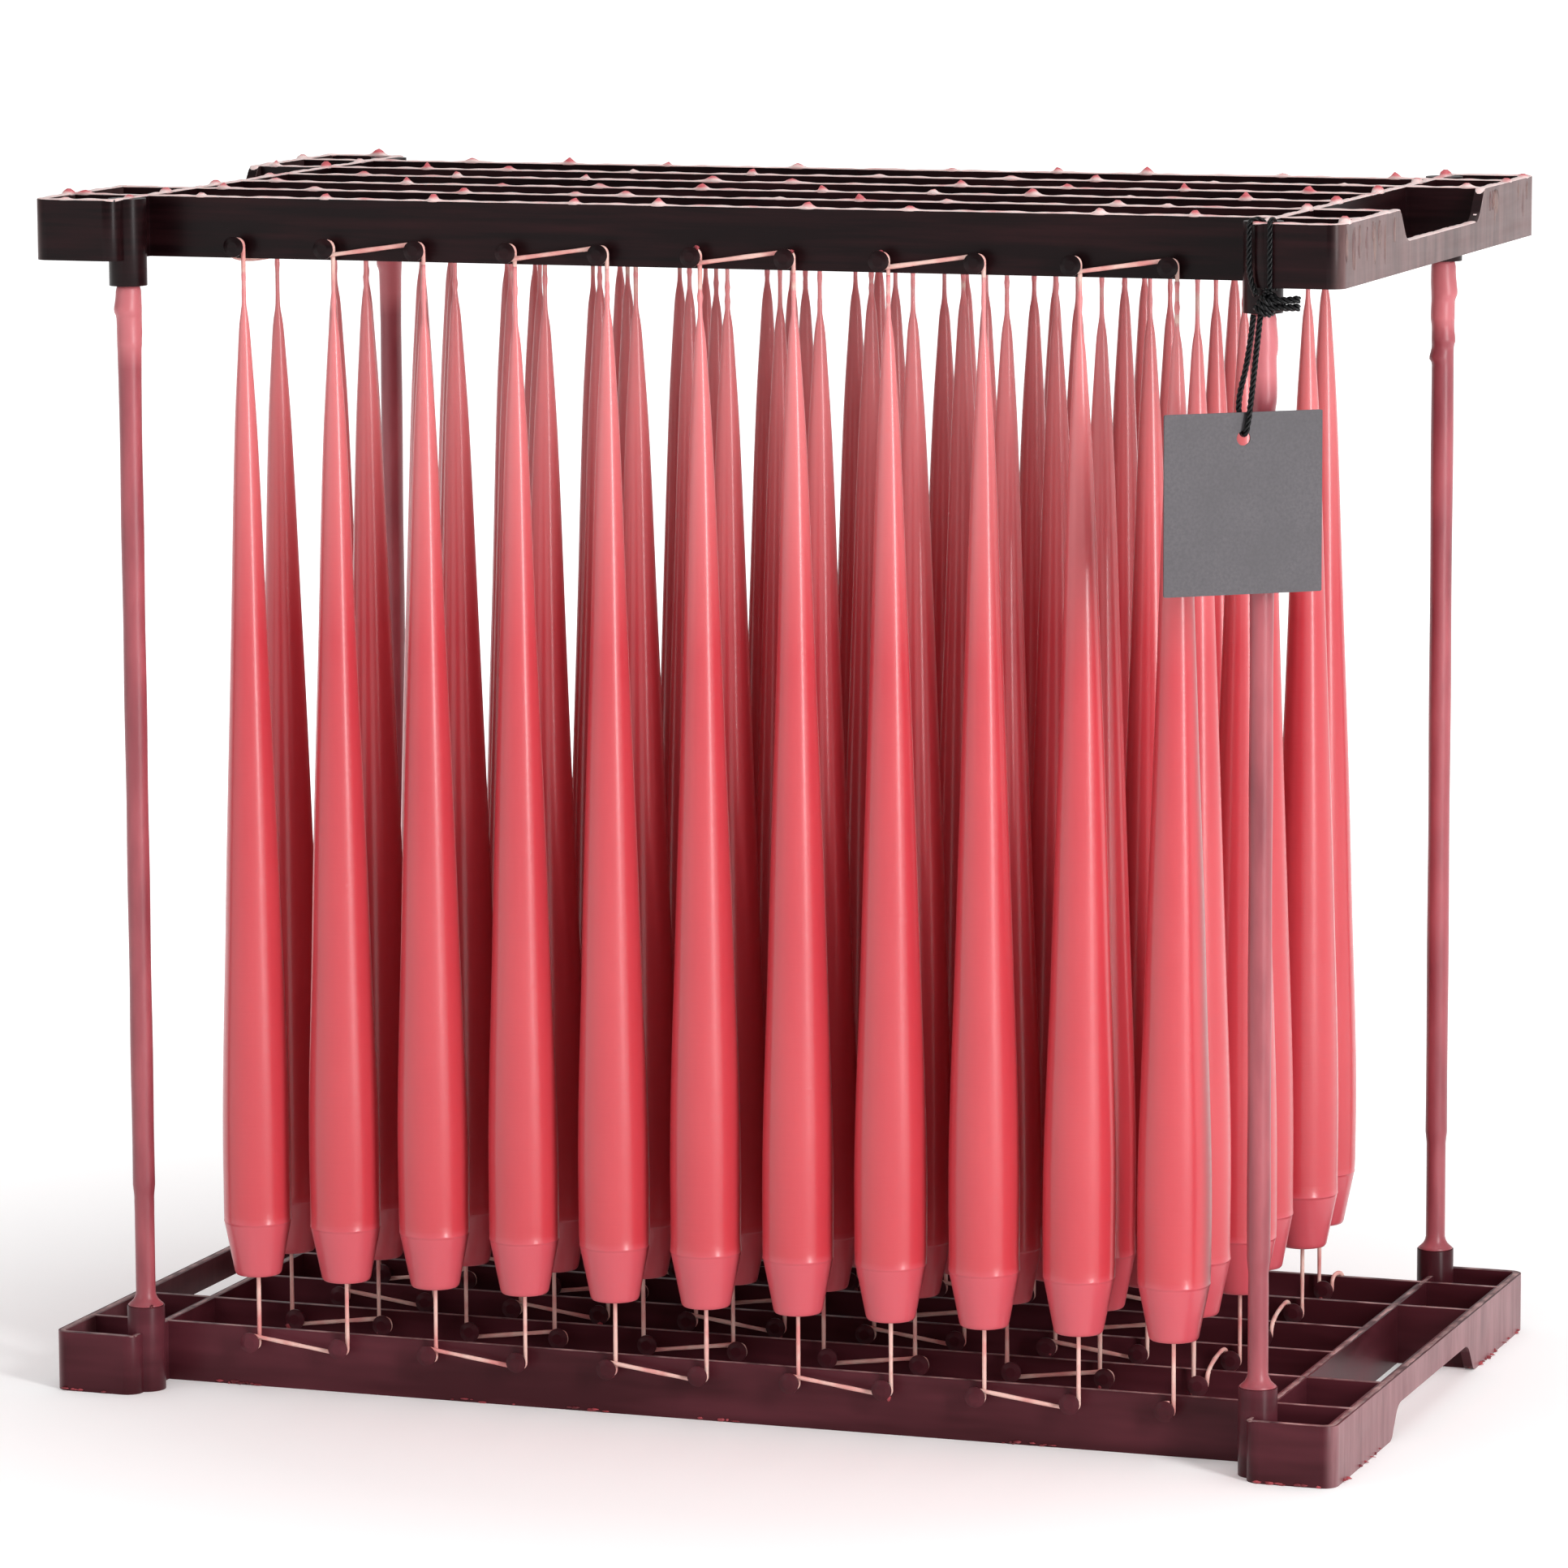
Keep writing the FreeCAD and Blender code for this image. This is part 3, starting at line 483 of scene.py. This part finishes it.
taper_faces = grid_faces(len(TAPER_LEVELS), SIDES)
pairs = {f"row_{row}_{column}_{column + 1}": ((row, column), (row, column + 1))
         for row in range(1, ROWS + 1) for column in range(2, COLUMNS, 2)}
pairs |= {f"turn_{row}_{row + 1}": ((row, 1), (row + 1, 1)) for row in range(1, ROWS, 2)}
for label, places in pairs.items():
    pair = make_piece(f"candles_{label}", joined([(candle(*where), taper_faces) for where in places]),
                      candle_wax)
    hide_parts(f"candle_pair_{label}")
print(len(pairs), "pairs of candles")

# %% [markdown]
# ## The wick
# A braided cotton wick, drawn taut round the pegs. It leaves one peg across its top, slopes to
# the next, goes round three sides of it and runs up or down to the other frame. The route is the
# corners of that path, with a point on each straight run a wrap's width from every corner, and
# the smooth line through them hugs the pegs.

# %% Waxed cotton wick
# Bleached cotton, braided, stiff with pale pink wax. The braid's plaits are 1.2 mm long.
waxed_wick, tree, shader, place = start_material(
    "waxed_cotton_wick", Roughness=0.5, Subsurface_Weight=0.15, Subsurface_Radius=(1.0, 0.4, 0.35),
    Subsurface_Scale=0.001)
wick_patch = remap(tree, noise(tree, place, 9), 0.42, 0.68)
plaits = node(tree, "ShaderNodeTexVoronoi", {"Vector": place, "Scale": 1000 / 1.2}).outputs[0]
feed(tree, shader, Base_Color=mixed(tree, wick_patch, "#EDC3B8", "#DE8F8B"),
     Normal=bumped(tree, plaits, 0.4, 0.0002))
print(waxed_wick.name)


# %% The wick's route
def by_peg(row, column, top, across, outward, standoff):
    """A point beside a peg: across to the side the wick runs on, outward from the candles."""
    away = 1 if top else -1
    level = PEG_HIGH if top else PEG_LOW
    return np.array((column_x(column) + side_of(row) * across, rail_y(row) - standoff,
                     level + away * outward))


def sloping_link(row, column, following, top):
    """Over one peg, down the slope to the next, and round three sides of that."""
    wrap, lifted = WICK_WRAP, WICK_WRAP + LINK_LIFT
    between = WICK_STANDOFF + (LINK_STANDOFF - WICK_STANDOFF) / 3
    first = by_peg(row, column, top, wrap, lifted, WICK_STANDOFF)
    last = by_peg(row, following, top, -wrap, -lifted, LINK_STANDOFF)
    return [by_peg(row, column, top, wrap, -wrap, WICK_STANDOFF), first, first + 0.16 * (last - first),
            first + 0.86 * (last - first), last, by_peg(row, following, top, -wrap, wrap, between),
            by_peg(row, following, top, wrap, wrap, WICK_STANDOFF),
            by_peg(row, following, top, wrap, -wrap, WICK_STANDOFF)]


def over_rim(row, column, top, across, standoff):
    """A point where the wick crosses the rim of a rail, clear of it by its own width."""
    rim = HEIGHT - FRAME_DEPTH - WICK_CLEARANCE if top else FRAME_DEPTH + WICK_CLEARANCE
    return np.array((column_x(column) + side_of(row) * across, rail_y(row) - standoff, rim))


def wick_route():
    """The whole winding, row by row, from the tail at the front right to the one at the back."""
    wrap, near = WICK_WRAP, WICK_STANDOFF
    route = [by_peg(1, COLUMNS, False, 0.6 * wrap, -wrap - LINK_LIFT, LINK_STANDOFF),
             by_peg(1, COLUMNS, False, -wrap, -wrap - LINK_LIFT, LINK_STANDOFF),
             by_peg(1, COLUMNS, False, -wrap, wrap, TAIL_STANDOFF),
             by_peg(1, COLUMNS, False, wrap, wrap, near),
             by_peg(1, COLUMNS, False, wrap, -wrap, near)]
    top = True
    for row in range(1, ROWS + 1):
        order = range(COLUMNS, 0, -1) if row % 2 else range(1, COLUMNS + 1)
        for column, following in zip(order, order[1:]):
            route += sloping_link(row, column, following, top)
            top = not top
        column = order[-1]
        route += [by_peg(row, column, top, wrap, -wrap, near), by_peg(row, column, top, wrap, wrap, near),
                  by_peg(row, column, top, -wrap, wrap, near), over_rim(row, column, top, -wrap, near)]
        if row < ROWS:
            route += [over_rim(row + 1, column, top, -wrap, near),
                      by_peg(row + 1, column, top, -wrap, wrap, near),
                      by_peg(row + 1, column, top, wrap, wrap, near),
                      by_peg(row + 1, column, top, wrap, -wrap, near)]
            top = not top
    behind = -RAIL_WALL / 2 - WICK_CLEARANCE
    return route + [over_rim(ROWS, COLUMNS, False, -2 * wrap, behind),
                    by_peg(ROWS, COLUMNS, False, -2 * wrap, 0, behind)]


wick_line = smooth_line(wick_route(), resolution=7)
chance = np.random.default_rng(7)
wick_distance = travelled(wick_line)
level = wick_line[:, 2]
in_the_open = (level < 40) | (level > 360)
thickness = WICK_RADIUS * (1 + in_the_open * (0.10 + 0.14 * np.sin(wick_distance / 3.1)
                                              * np.sin(wick_distance / 7.7 + 1.0)))
wick = make_piece("wound_wick", swept(wick_line, thickness, sides=8), waxed_wick)
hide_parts("wick")
print("the wick is", round(wick_distance[-1] / 1000, 2), "m long,", len(wick.data.polygons), "faces")

# %% [markdown]
# ## The moulded frames
# The lattices are injection moulded in a dark red-brown plastic and have been in the wax bath
# hundreds of times. A grey-pink film of wax clings to the outer walls, thick on the end walls,
# where it has run down in streaks, and thin as a smear along the front. The paler tone of the
# walls that face sideways is partly that film and partly painted light from the lamp on the right.
# The CAD solids have the right shape, so they stay, and only get a fine rounded edge that catches
# the light.

# %% Moulded plastic with a film of wax
def filmed_plastic(name, dark, film, wall_film_and_lit_side, film_amount, end_film_and_light_amount, smear_size):
    """Dark plastic, a film smeared along the rack, and a paler tone on walls that face sideways, partly a
    heavier film and partly painted light.
    """
    plastic, tree, shader, place = start_material(name, IOR=1.49, Specular_IOR_Level=0.14)
    smear = noise(tree, place, smear_size, 3.0, 0.55)
    body = mixed(tree, remap(tree, smear, 0.40, 0.72, high=film_amount), dark, film)
    runs = noise(tree, place, (40, 5.5, 40), 4.0, 0.58)
    # Walls near the ends that face sideways take the paler wall colour. It is partly a heavier wax film
    # with runs, and partly painted light, as if the lamp on the right lit these walls and their rounded
    # corners.
    facing = node(tree, "ShaderNodeNewGeometry").outputs["Normal"]
    end_face, reach = (
        maths(tree, "ABSOLUTE", node(tree, "ShaderNodeSeparateXYZ", {"Vector": vector}).outputs[0])
        for vector in (facing, place))
    outer = remap(tree, reach, (HALF_LENGTH - 4) * MM, (HALF_LENGTH - 1) * MM, high=end_film_and_light_amount)
    end_film_and_light = maths(tree, "MULTIPLY", outer, end_face)
    share = maths(tree, "MULTIPLY", end_film_and_light, remap(tree, runs, 0.30, 0.66, low=0.45))
    feed(tree, shader, Base_Color=mixed(tree, share, body, wall_film_and_lit_side),
         Roughness=remap(tree, smear, low=0.22, high=0.42),
         Normal=bumped(tree, maths(tree, "ADD", smear, runs), 0.05, 0.0004))
    return plastic


# The last three colours are the plastic, the smeared film, and the paler end-wall tone, which is part film
# and part painted light.
top_plastic = filmed_plastic("moulded_plastic_smeared", "#120507", "#2E1316", "#785C5B", 0.60, 0.95,
                             (60, 40, 3.5))
bottom_plastic = filmed_plastic("moulded_plastic_reddened", "#3F181E", "#632E37", "#A07478", 0.85, 0.88,
                                (120, 60, 16))
for name, plastic in (("top_frame", top_plastic), ("bottom_frame", bottom_plastic)):
    moulded = finish_node(name, plastic)
    ease_edges(moulded, 0.4, 40)
    print(name, len(moulded.data.polygons), "faces before the round")

# %% [markdown]
# ## Wax on the rims
# When the rack comes up out of the bath, wax stays on every upper rim as a pale wavy bead, and
# stiffens into small coral peaks where drops were about to fall. Each rim's wax is an oval tube
# that lies on the rim: its height wanders along the rim, and bell curves add the peaks.

# %% Rim wax
# Thin wax over dark plastic looks pinkish white; where it is thick it has its own coral.
rim_wax, tree, shader, place = start_material(
    "thin_rim_wax", Roughness=0.40, IOR=1.44, Subsurface_Weight=0.25, Subsurface_Radius=(1.0, 0.4, 0.35),
    Subsurface_Scale=0.0015)
rim_height = node(tree, "ShaderNodeSeparateXYZ", {"Vector": place}).outputs[2]
wobble = remap(tree, noise(tree, place, 14, 3.0), 0.3, 0.7, -0.0008, 0.0008)
thick = remap(tree, maths(tree, "ADD", rim_height, wobble), 0.4005, 0.4015)
feed(tree, shader, Base_Color=mixed(tree, thick, "#E8CBC8", "#C9575F"))
print(rim_wax.name)

# Old wax on the lower frame is a thin grey-pink line on each rim; its pale tone is partly worn wax and
# partly a painted highlight along the rim tops.
worn_wax_and_highlight, tree, shader, place = start_material(
    "worn_rim_wax_painted_highlight", Roughness=0.45, IOR=1.44, Subsurface_Weight=0.1, Subsurface_Scale=0.001)
worn_and_highlight_amount = remap(tree, noise(tree, place, 10, 3.0), 0.35, 0.65)
feed(tree, shader, Base_Color=mixed(tree, worn_and_highlight_amount, "#4A2A2E", "#B08C8A"))


# %% Lines along the rims
def straight(start, end, step=1.2):
    """Points along a straight rim, a step apart."""
    start, end = np.array(start, float), np.array(end, float)
    share = np.linspace(0, 1, int(np.linalg.norm(end - start) / step) + 2)[:, None]
    return start + share * (end - start)


def notch_drop(across):
    """How far the end wall's rim is cut away: a trapezium with eased corners."""
    slope = (NOTCH_MOUTH - NOTCH_ROOT) / 2
    return NOTCH_DEPTH * np.clip((NOTCH_MOUTH / 2 - np.abs(across)) / slope, 0, 1) ** 0.8


def rim_lines(level, notched):
    """Every rim of one frame as (line, wall thickness)."""
    lines = [(straight((-ROD_X, rail_y(row), level), (ROD_X, rail_y(row), level)), RAIL_WALL)
             for row in range(1, ROWS + 1)]
    turn = 3.5
    middle, end = HALF_WIDTH - SIDE_WALL / 2, HALF_LENGTH - END_WALL / 2
    bend = np.linspace(0, np.pi / 2, 6)[:, None]
    arc = np.hstack((np.sin(bend), 1 - np.cos(bend), 0 * bend)) * turn
    for side in (-1, 1):
        cross = straight((side * ROD_X, -HALF_WIDTH + 2, level), (side * ROD_X, HALF_WIDTH - 2, level))
        lines.append((cross, CROSS_WALL))
        front = straight((side * ROD_X, -middle, level), (side * (end - turn), -middle, level))
        corner = np.array((side * (end - turn), -middle, level)) + arc * (side, 1, 0)
        wall = straight((side * end, -middle + turn, level), (side * end, middle - turn, level))
        if notched:
            wall[:, 2] -= notch_drop(wall[:, 1])
        far_corner = corner[::-1] * (1, -1, 1)
        whole = np.concatenate((front, corner[1:-1], wall, far_corner[1:-1], front[::-1] * (1, -1, 1)))
        lines.append((whole, SIDE_WALL))
        lines += [(straight((side * ROD_X, rail_y(row), level), (side * end, rail_y(row), level)),
                   RAIL_WALL) for row in (1, 2, ROWS - 1, ROWS)]
    return lines


def rim_bead(line, wall, chance, low, high, overhang, peaks):
    """An oval round a rim line: half width wall / 2 + overhang + a wander, half height a wander
    between low and high + peaks, each a bell curve 1 to 2 mm wide where the rim isn't cut away."""
    distance = travelled(line)
    wander = sum(np.sin(2 * np.pi * (distance / length + chance.uniform())) for length in (31, 17, 9)) / 3
    tall = low + (high - low) * (0.5 + 0.5 * wander)
    on_top = line[:, 2] > line[:, 2].max() - 0.3
    first, spacing = chance.uniform(5, 40), int(chance.uniform(34, 52))
    for place_of_peak in np.arange(first, distance[-1], 1.0)[::spacing]:
        if peaks:
            at = place_of_peak + chance.uniform(-12, 12)
            peak_height, peak_width = chance.uniform(0.5, peaks), chance.uniform(1.0, 2.2)
            tall += on_top * peak_height * np.exp(-((distance - at) / peak_width) ** 2)
    wide = wall / 2 + overhang * (1 + 0.5 * np.roll(wander, 7)) + 0.45 * np.clip(tall - high, 0, 1.4)
    direction = unit(np.gradient(line, axis=0))
    sideways = unit(np.cross(direction, (0.0, 0.0, 1.0)))
    upward = np.cross(sideways, direction)
    angle = np.linspace(0, 2 * np.pi, 10, endpoint=False)
    below = np.where(np.sin(angle) < 0, 0.5, 0.0)[None, :] * np.ones((len(line), 1))
    high_part = np.where(np.sin(angle) >= 0, tall[:, None], 0) * np.sin(angle)
    rings = (line[:, None] + (wide[:, None] * np.cos(angle))[..., None] * sideways[:, None]
             + (high_part + below * np.sin(angle))[..., None] * upward[:, None])
    faces = [face[::-1] for face in grid_faces(len(line), 10)]
    return rings.reshape(-1, 3), faces


chance = np.random.default_rng(21)
top_beads = [rim_bead(line, wall, chance, 0.10, 0.60, 0.10, 2.4) for line, wall in rim_lines(HEIGHT, True)]
top_rims = make_piece("top_rim_wax", joined(top_beads), rim_wax)
# The narrow pale line on each lower rim is partly worn wax and partly a painted highlight.
bottom_beads = [rim_bead(line, wall, chance, 0.06, 0.22, -0.60, 0.0)
                for line, wall in rim_lines(FRAME_DEPTH, False)]
bottom_rims = make_piece("bottom_rim_wax", joined(bottom_beads), worn_wax_and_highlight)
print("rim wax", len(top_rims.data.polygons), "and", len(bottom_rims.data.polygons), "faces")

# %% [markdown]
# ## Crumbs and drops
# Broken bits of wax cling to the lower edges, the peg heads, the collars and the ends of the
# notches. A crumb is a ball of eight by five faces whose radius is shaken a little; hundreds of
# them cost next to nothing.

# %% Crumbs of wax
crumb_wax, tree, shader, place = start_material(
    "crumbled_wax", Roughness=0.5, IOR=1.44, Subsurface_Weight=0.2, Subsurface_Radius=(1.0, 0.3, 0.25),
    Subsurface_Scale=0.001)
crumb_amount = remap(tree, noise(tree, place, 6), 0.35, 0.62)
feed(tree, shader, Base_Color=mixed(tree, crumb_amount, "#5E1C23", "#B04850"))


def crumbs(middles, half_sizes, chance, sides=8, belts=5):
    """Balls: middle + half size * (sin a cos b, sin a sin b, -cos a) * (1 + up to a quarter)."""
    middles, half_sizes = np.asarray(middles, float), np.asarray(half_sizes, float)
    down = np.linspace(0.06, np.pi - 0.06, belts + 1)[:, None]
    round_it = np.linspace(0, 2 * np.pi, sides, endpoint=False)[None, :]
    ball = np.stack((np.sin(down) * np.cos(round_it), np.sin(down) * np.sin(round_it),
                     -np.cos(down) + 0 * round_it), axis=-1).reshape(-1, 3)
    shake = 1 + chance.uniform(-0.25, 0.25, (len(middles), len(ball), 1))
    points = middles[:, None] + half_sizes[:, None] * ball * shake
    own = grid_faces(belts + 1, sides)
    return joined([(one, own) for one in points])


chance = np.random.default_rng(5)
clusters = chance.uniform(-185, 185, 9)
front_edge = np.stack((chance.choice(clusters, 46) + chance.normal(0, 5, 46), np.full(46, rail_y(1) - 1.5),
                       chance.uniform(0.3, 1.1, 46)), axis=1)
front_corner = np.stack((chance.choice((-1, 1), 16) * chance.uniform(196, 220, 16),
                         np.full(16, -HALF_WIDTH - 0.1), chance.uniform(0.3, 0.9, 16)), axis=1)
end_edge = np.stack((chance.choice((-1, 1), 56) * (HALF_LENGTH + 0.05), chance.uniform(58, 118, 56)
                     * chance.choice((-1, 1), 56), chance.uniform(0.3, 1.0, 56)), axis=1)
notch_ends = np.stack((chance.choice((-1, 1), 14) * (HALF_LENGTH - 1.4), chance.choice((-1, 1), 14)
                       * chance.uniform(52, 58, 14), chance.uniform(0.5, 1.6, 14)), axis=1)
lower = np.concatenate((front_edge, front_corner, end_edge, notch_ends))
lower_sizes = np.stack((chance.uniform(0.4, 1.7, len(lower)), chance.uniform(0.3, 0.8, len(lower)),
                        chance.uniform(0.15, 0.5, len(lower))), axis=1)
collar_tops = [(x * ROD_X + dx, y * ROD_Y + dy, FRAME_DEPTH + 8.8) for x, y in CORNERS.values()
               for dx, dy in chance.uniform(-4.5, 4.5, (3, 2))]
collar_sizes = chance.uniform(0.5, 1.1, (len(collar_tops), 3))
on_pegs = [(column_x(column) + side_of(row) * chance.uniform(0.5, 2.6),
            rail_y(row) - chance.uniform(5.4, 7.4),
            (PEG_LOW if low else PEG_HIGH) + chance.uniform(2.0, 2.9) * (-1 if low else 1))
           for row in range(1, ROWS + 1) for column in range(1, COLUMNS + 1) for low in (True, False)
           if chance.uniform() < 0.45]
peg_sizes = chance.uniform(0.45, 1.0, (len(on_pegs), 3))
crumb_shape = joined([crumbs(lower, lower_sizes, chance), crumbs(collar_tops, collar_sizes, chance),
                      crumbs(on_pegs, peg_sizes, chance)])
make_piece("wax_crumbs", crumb_shape, crumb_wax)
print("crumbs", len(lower) + len(collar_tops) + len(on_pegs))

# %% [markdown]
# ## Runs of wax on the walls
# On the end walls of the top frame, drops have run down from the rim and set as narrow raised
# streaks. Each is a long thin ball half sunk in the wall.

# %% Runs on the end walls
chance = np.random.default_rng(11)
count = 46
side = chance.choice((-1, 1), count)
across = chance.uniform(60, 119, count) * chance.choice((-1, 1), count)
long_half = chance.uniform(2.5, 6.5, count)
start_level = HEIGHT - notch_drop(across)
run_middles = np.stack((side * (HALF_LENGTH - 0.05), across, start_level - 0.5 - 1.3 * long_half), axis=1)
run_sizes = np.stack((chance.uniform(0.12, 0.35, count), chance.uniform(0.6, 2.2, count), long_half),
                     axis=1)
film_wax, tree, shader, place = start_material(
    "wall_film_wax", Roughness=0.5, IOR=1.44, Subsurface_Weight=0.1, Subsurface_Scale=0.001)
film_amount = remap(tree, noise(tree, place, 9, 3.0), 0.35, 0.65)
feed(tree, shader, Base_Color=mixed(tree, film_amount, "#654A4B", "#80655F"))
run_shape = crumbs(run_middles, run_sizes, chance, sides=10, belts=10)
make_piece("wall_wax_runs", run_shape, film_wax)
print(count, "runs")

# %% [markdown]
# ## Wax on the rods
# The rods dip too. Below the wax line there is a thin film, above it a thick sleeve that ends in
# drips under the top collar, and at the foot a smooth cone flares on to the bottom collar. The
# sleeve is a tube round the rod whose radius depends on height and, for the drips, on the side.

# %% Rod wax
rod_coat, tree, shader, place = start_material(
    "dull_rod_wax", IOR=1.44, Subsurface_Weight=0.15, Subsurface_Radius=(1.0, 0.35, 0.3),
    Subsurface_Scale=0.002, Coat_Weight=0.15, Coat_Roughness=0.3)
rod_height = node(tree, "ShaderNodeSeparateXYZ", {"Vector": place}).outputs[2]
rod_noise = noise(tree, place, (9, 9, 38), 4.0)
rod_tone = mixed(tree, remap(tree, rod_noise, 0.32, 0.70), "#883B44", "#AE565E")
sleeve_tone = mixed(tree, remap(tree, rod_height, 0.344, 0.352, high=0.85), rod_tone, "#CF747A")
feed(tree, shader, Base_Color=sleeve_tone, Roughness=remap(tree, rod_noise, low=0.28, high=0.50),
     Normal=bumped(tree, rod_noise, 0.25, 0.0005))

COAT_END = 371.5
COAT_STATIONS = np.array((28.7, 28.9, 29.6, 30.6, 31.8, 33.0, 66.0, 70.0, 200.0, 340.0, 352.0, 358.0,
                          364.0, 369.5, COAT_END))
COAT_RADII = np.array((5.9, 6.0, 5.2, 4.2, 3.6, 3.3, 3.3, 3.75, 3.75, 3.8, 3.95, 4.0, 4.3, 4.2, 3.7))
DRIPS = {"front_left": ((363, 0.9, 3.5, 4.4), (356, 0.5, 5.0, 1.5), (352, 0.35, 3.0, 5.5)),
         "front_right": ((345, 0.9, 12.0, 5.6), (331, 0.8, 3.0, 5.4), (360, 0.6, 6.0, 1.0)),
         "back_left": ((362, 0.7, 4.0, 4.0), (228, 0.8, 2.2, 5.0)),
         "back_right": ((360, 0.9, 4.0, 5.9), (344, 1.0, 3.2, 5.3), (338, 0.9, 2.6, 3.6),
                        (352, 0.7, 6.0, 4.6))}


def rod_sleeve(corner):
    """Radius = the stations' line + a slow ripple + drips, each a bell curve in height, three
    times steeper below, times a raised cosine round the rod, which leans the drip to one side."""
    x, y = CORNERS[corner]
    chance = np.random.default_rng(len(corner) * 31 + x + 3 * y)
    levels = np.concatenate((COAT_STATIONS[:6], np.linspace(36, 64, 8), np.linspace(65.5, 71, 6),
                             np.linspace(76, 325, 70), np.linspace(327, COAT_END, 46)))
    angle = np.linspace(0, 2 * np.pi, 28, endpoint=False)[None, :]
    radius = np.interp(levels, COAT_STATIONS, COAT_RADII)[:, None] + 0 * angle
    radius += (0.07 * np.sin(levels / chance.uniform(9, 14) + chance.uniform(0, 6))
               * (levels > 60) * (levels < 366))[:, None]
    for level, size, spread, heading in DRIPS[corner]:
        lean = (0.5 + 0.5 * np.cos(angle - heading)) ** 2
        above = levels[:, None] - level
        radius += size * np.exp(-(above / np.where(above < 0, 0.35 * spread, spread)) ** 2) * lean
    points = np.stack((x * ROD_X + radius * np.cos(angle), y * ROD_Y + radius * np.sin(angle),
                       np.broadcast_to(levels[:, None], radius.shape)), axis=-1)
    return points.reshape(-1, 3), grid_faces(len(levels), 28)


for corner in CORNERS:
    sleeve = make_piece(f"rod_sleeve_{corner}", rod_sleeve(corner), rod_coat)
    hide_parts(f"rod_wax_{corner}")
print("four rod sleeves")

# %% [markdown]
# ## Steel and card
# The drawn steel rods are hidden by their wax and by the collars, and still get their own
# finish. The hang tag is thick grey card with a matt coating and nothing printed on it.

# %% Drawn steel rod
steel, tree, shader, place = start_material("drawn_steel_rod", Metallic=1.0)
shader.inputs["Base Color"].default_value = linear("#B4B2AF")
draw_lines = noise(tree, place, (0.3, 0.3, 40))
feed(tree, shader, Roughness=remap(tree, draw_lines, low=0.22, high=0.45))
for corner in CORNERS:
    finish_node(f"rod_{corner}", steel)

# %% Coated grey card
card, tree, shader, place = start_material("coated_grey_card", IOR=1.45)
fibres, cloud = noise(tree, place, 0.9, 4.0), noise(tree, place, 18)
card_amount = remap(tree, maths(tree, "MULTIPLY", fibres, cloud), 0.12, 0.40)
feed(tree, shader, Base_Color=mixed(tree, card_amount, "#4B474B", "#585458"),
     Roughness=remap(tree, cloud, low=0.50, high=0.68), Normal=bumped(tree, fibres, 0.15, 0.0001))
ease_edges(finish_node("hang_tag", card), 0.12, 30)
print("steel and card done")

# %% [markdown]
# ## Floor and light
# The rack stands on a plain white floor that runs out of sight under an even white sky. The floor
# also glows for the camera: painted light, weak near the rack and strong farther out, so it reads
# white. A large soft lamp to the right of the camera draws one broad, pale band down every candle
# and lights the end walls; the left side is left a little darker, and a weak lamp overhead lights
# the rims.

# %% White floor
floor_white, tree, shader, place = start_material("matt_white_floor", Roughness=0.9)
shader.inputs["Base Color"].default_value = linear("#F4F3F3")
shader.inputs["Specular IOR Level"].default_value = 0.1
# Painted light: the floor glows for camera and glossy rays. The glow is weak near the rack, so its shadow
# shows, and stronger farther out.
ray = node(tree, "ShaderNodeLightPath")
seen = maths(tree, "MAXIMUM", ray.outputs["Is Camera Ray"], ray.outputs["Is Glossy Ray"])
away = node(tree, "ShaderNodeVectorMath", {0: place}, operation="LENGTH").outputs["Value"]
painted_floor_glow = remap(tree, away, 0.22, 0.85, 0.13, 0.80)
shader.inputs["Emission Color"].default_value = (1.0, 1.0, 1.0, 1.0)
feed(tree, shader, Emission_Strength=maths(tree, "MULTIPLY", seen, painted_floor_glow))
half = 30.0
floor_mesh = bpy.data.meshes.new("floor")
floor_corners = [(-half, -half, 0), (half, -half, 0), (half, half, 0), (-half, half, 0)]
floor_mesh.from_pydata(floor_corners, [], [(0, 1, 2, 3)])
floor_mesh.materials.append(floor_white)
floor = bpy.data.objects.new("floor", floor_mesh)
bpy.context.scene.collection.objects.link(floor)
print("a floor", 2 * half, "m wide")

# %% White sky
sky = bpy.data.worlds.new("white_sky")
sky.use_nodes = True
bpy.context.scene.world = sky
tree = sky.node_tree
ray = node(tree, "ShaderNodeLightPath")
seen = maths(tree, "MAXIMUM", ray.outputs["Is Camera Ray"], ray.outputs["Is Transmission Ray"])
background = tree.nodes["Background"]
feed(tree, background, Strength=remap(tree, seen, low=0.51))
background.inputs["Color"].default_value = (1.0, 1.0, 1.0, 1.0)
print(sky.name)


# %% Lamps
def soft_lamp(name, direction, distance, size, power):
    """A square lamp that faces the middle of the rack from a direction."""
    lamp = bpy.data.lights.new(name, "AREA")
    lamp.shape, lamp.size, lamp.size_y, lamp.energy = "RECTANGLE", size[0], size[1], power
    holder = bpy.data.objects.new(name, lamp)
    bpy.context.scene.collection.objects.link(holder)
    toward = Vector(direction).normalized()
    holder.location = Vector((0, 0, 0.2)) + toward * distance
    holder.rotation_mode = "QUATERNION"
    holder.rotation_quaternion = toward.to_track_quat("Z", "Y")
    return holder


soft_lamp("key", (0.84, -0.54, 0.30), 2.2, (0.34, 1.6), 35)
soft_lamp("fill_left", (-0.75, -0.9, 0.35), 2.6, (1.4, 1.6), 6)
soft_lamp("overhead", (0.15, 0.15, 1.0), 2.2, (2.0, 2.0), 17)
bpy.context.scene.view_settings.view_transform = "Standard"
print("lamps:", [lamp.name for lamp in bpy.data.lights])
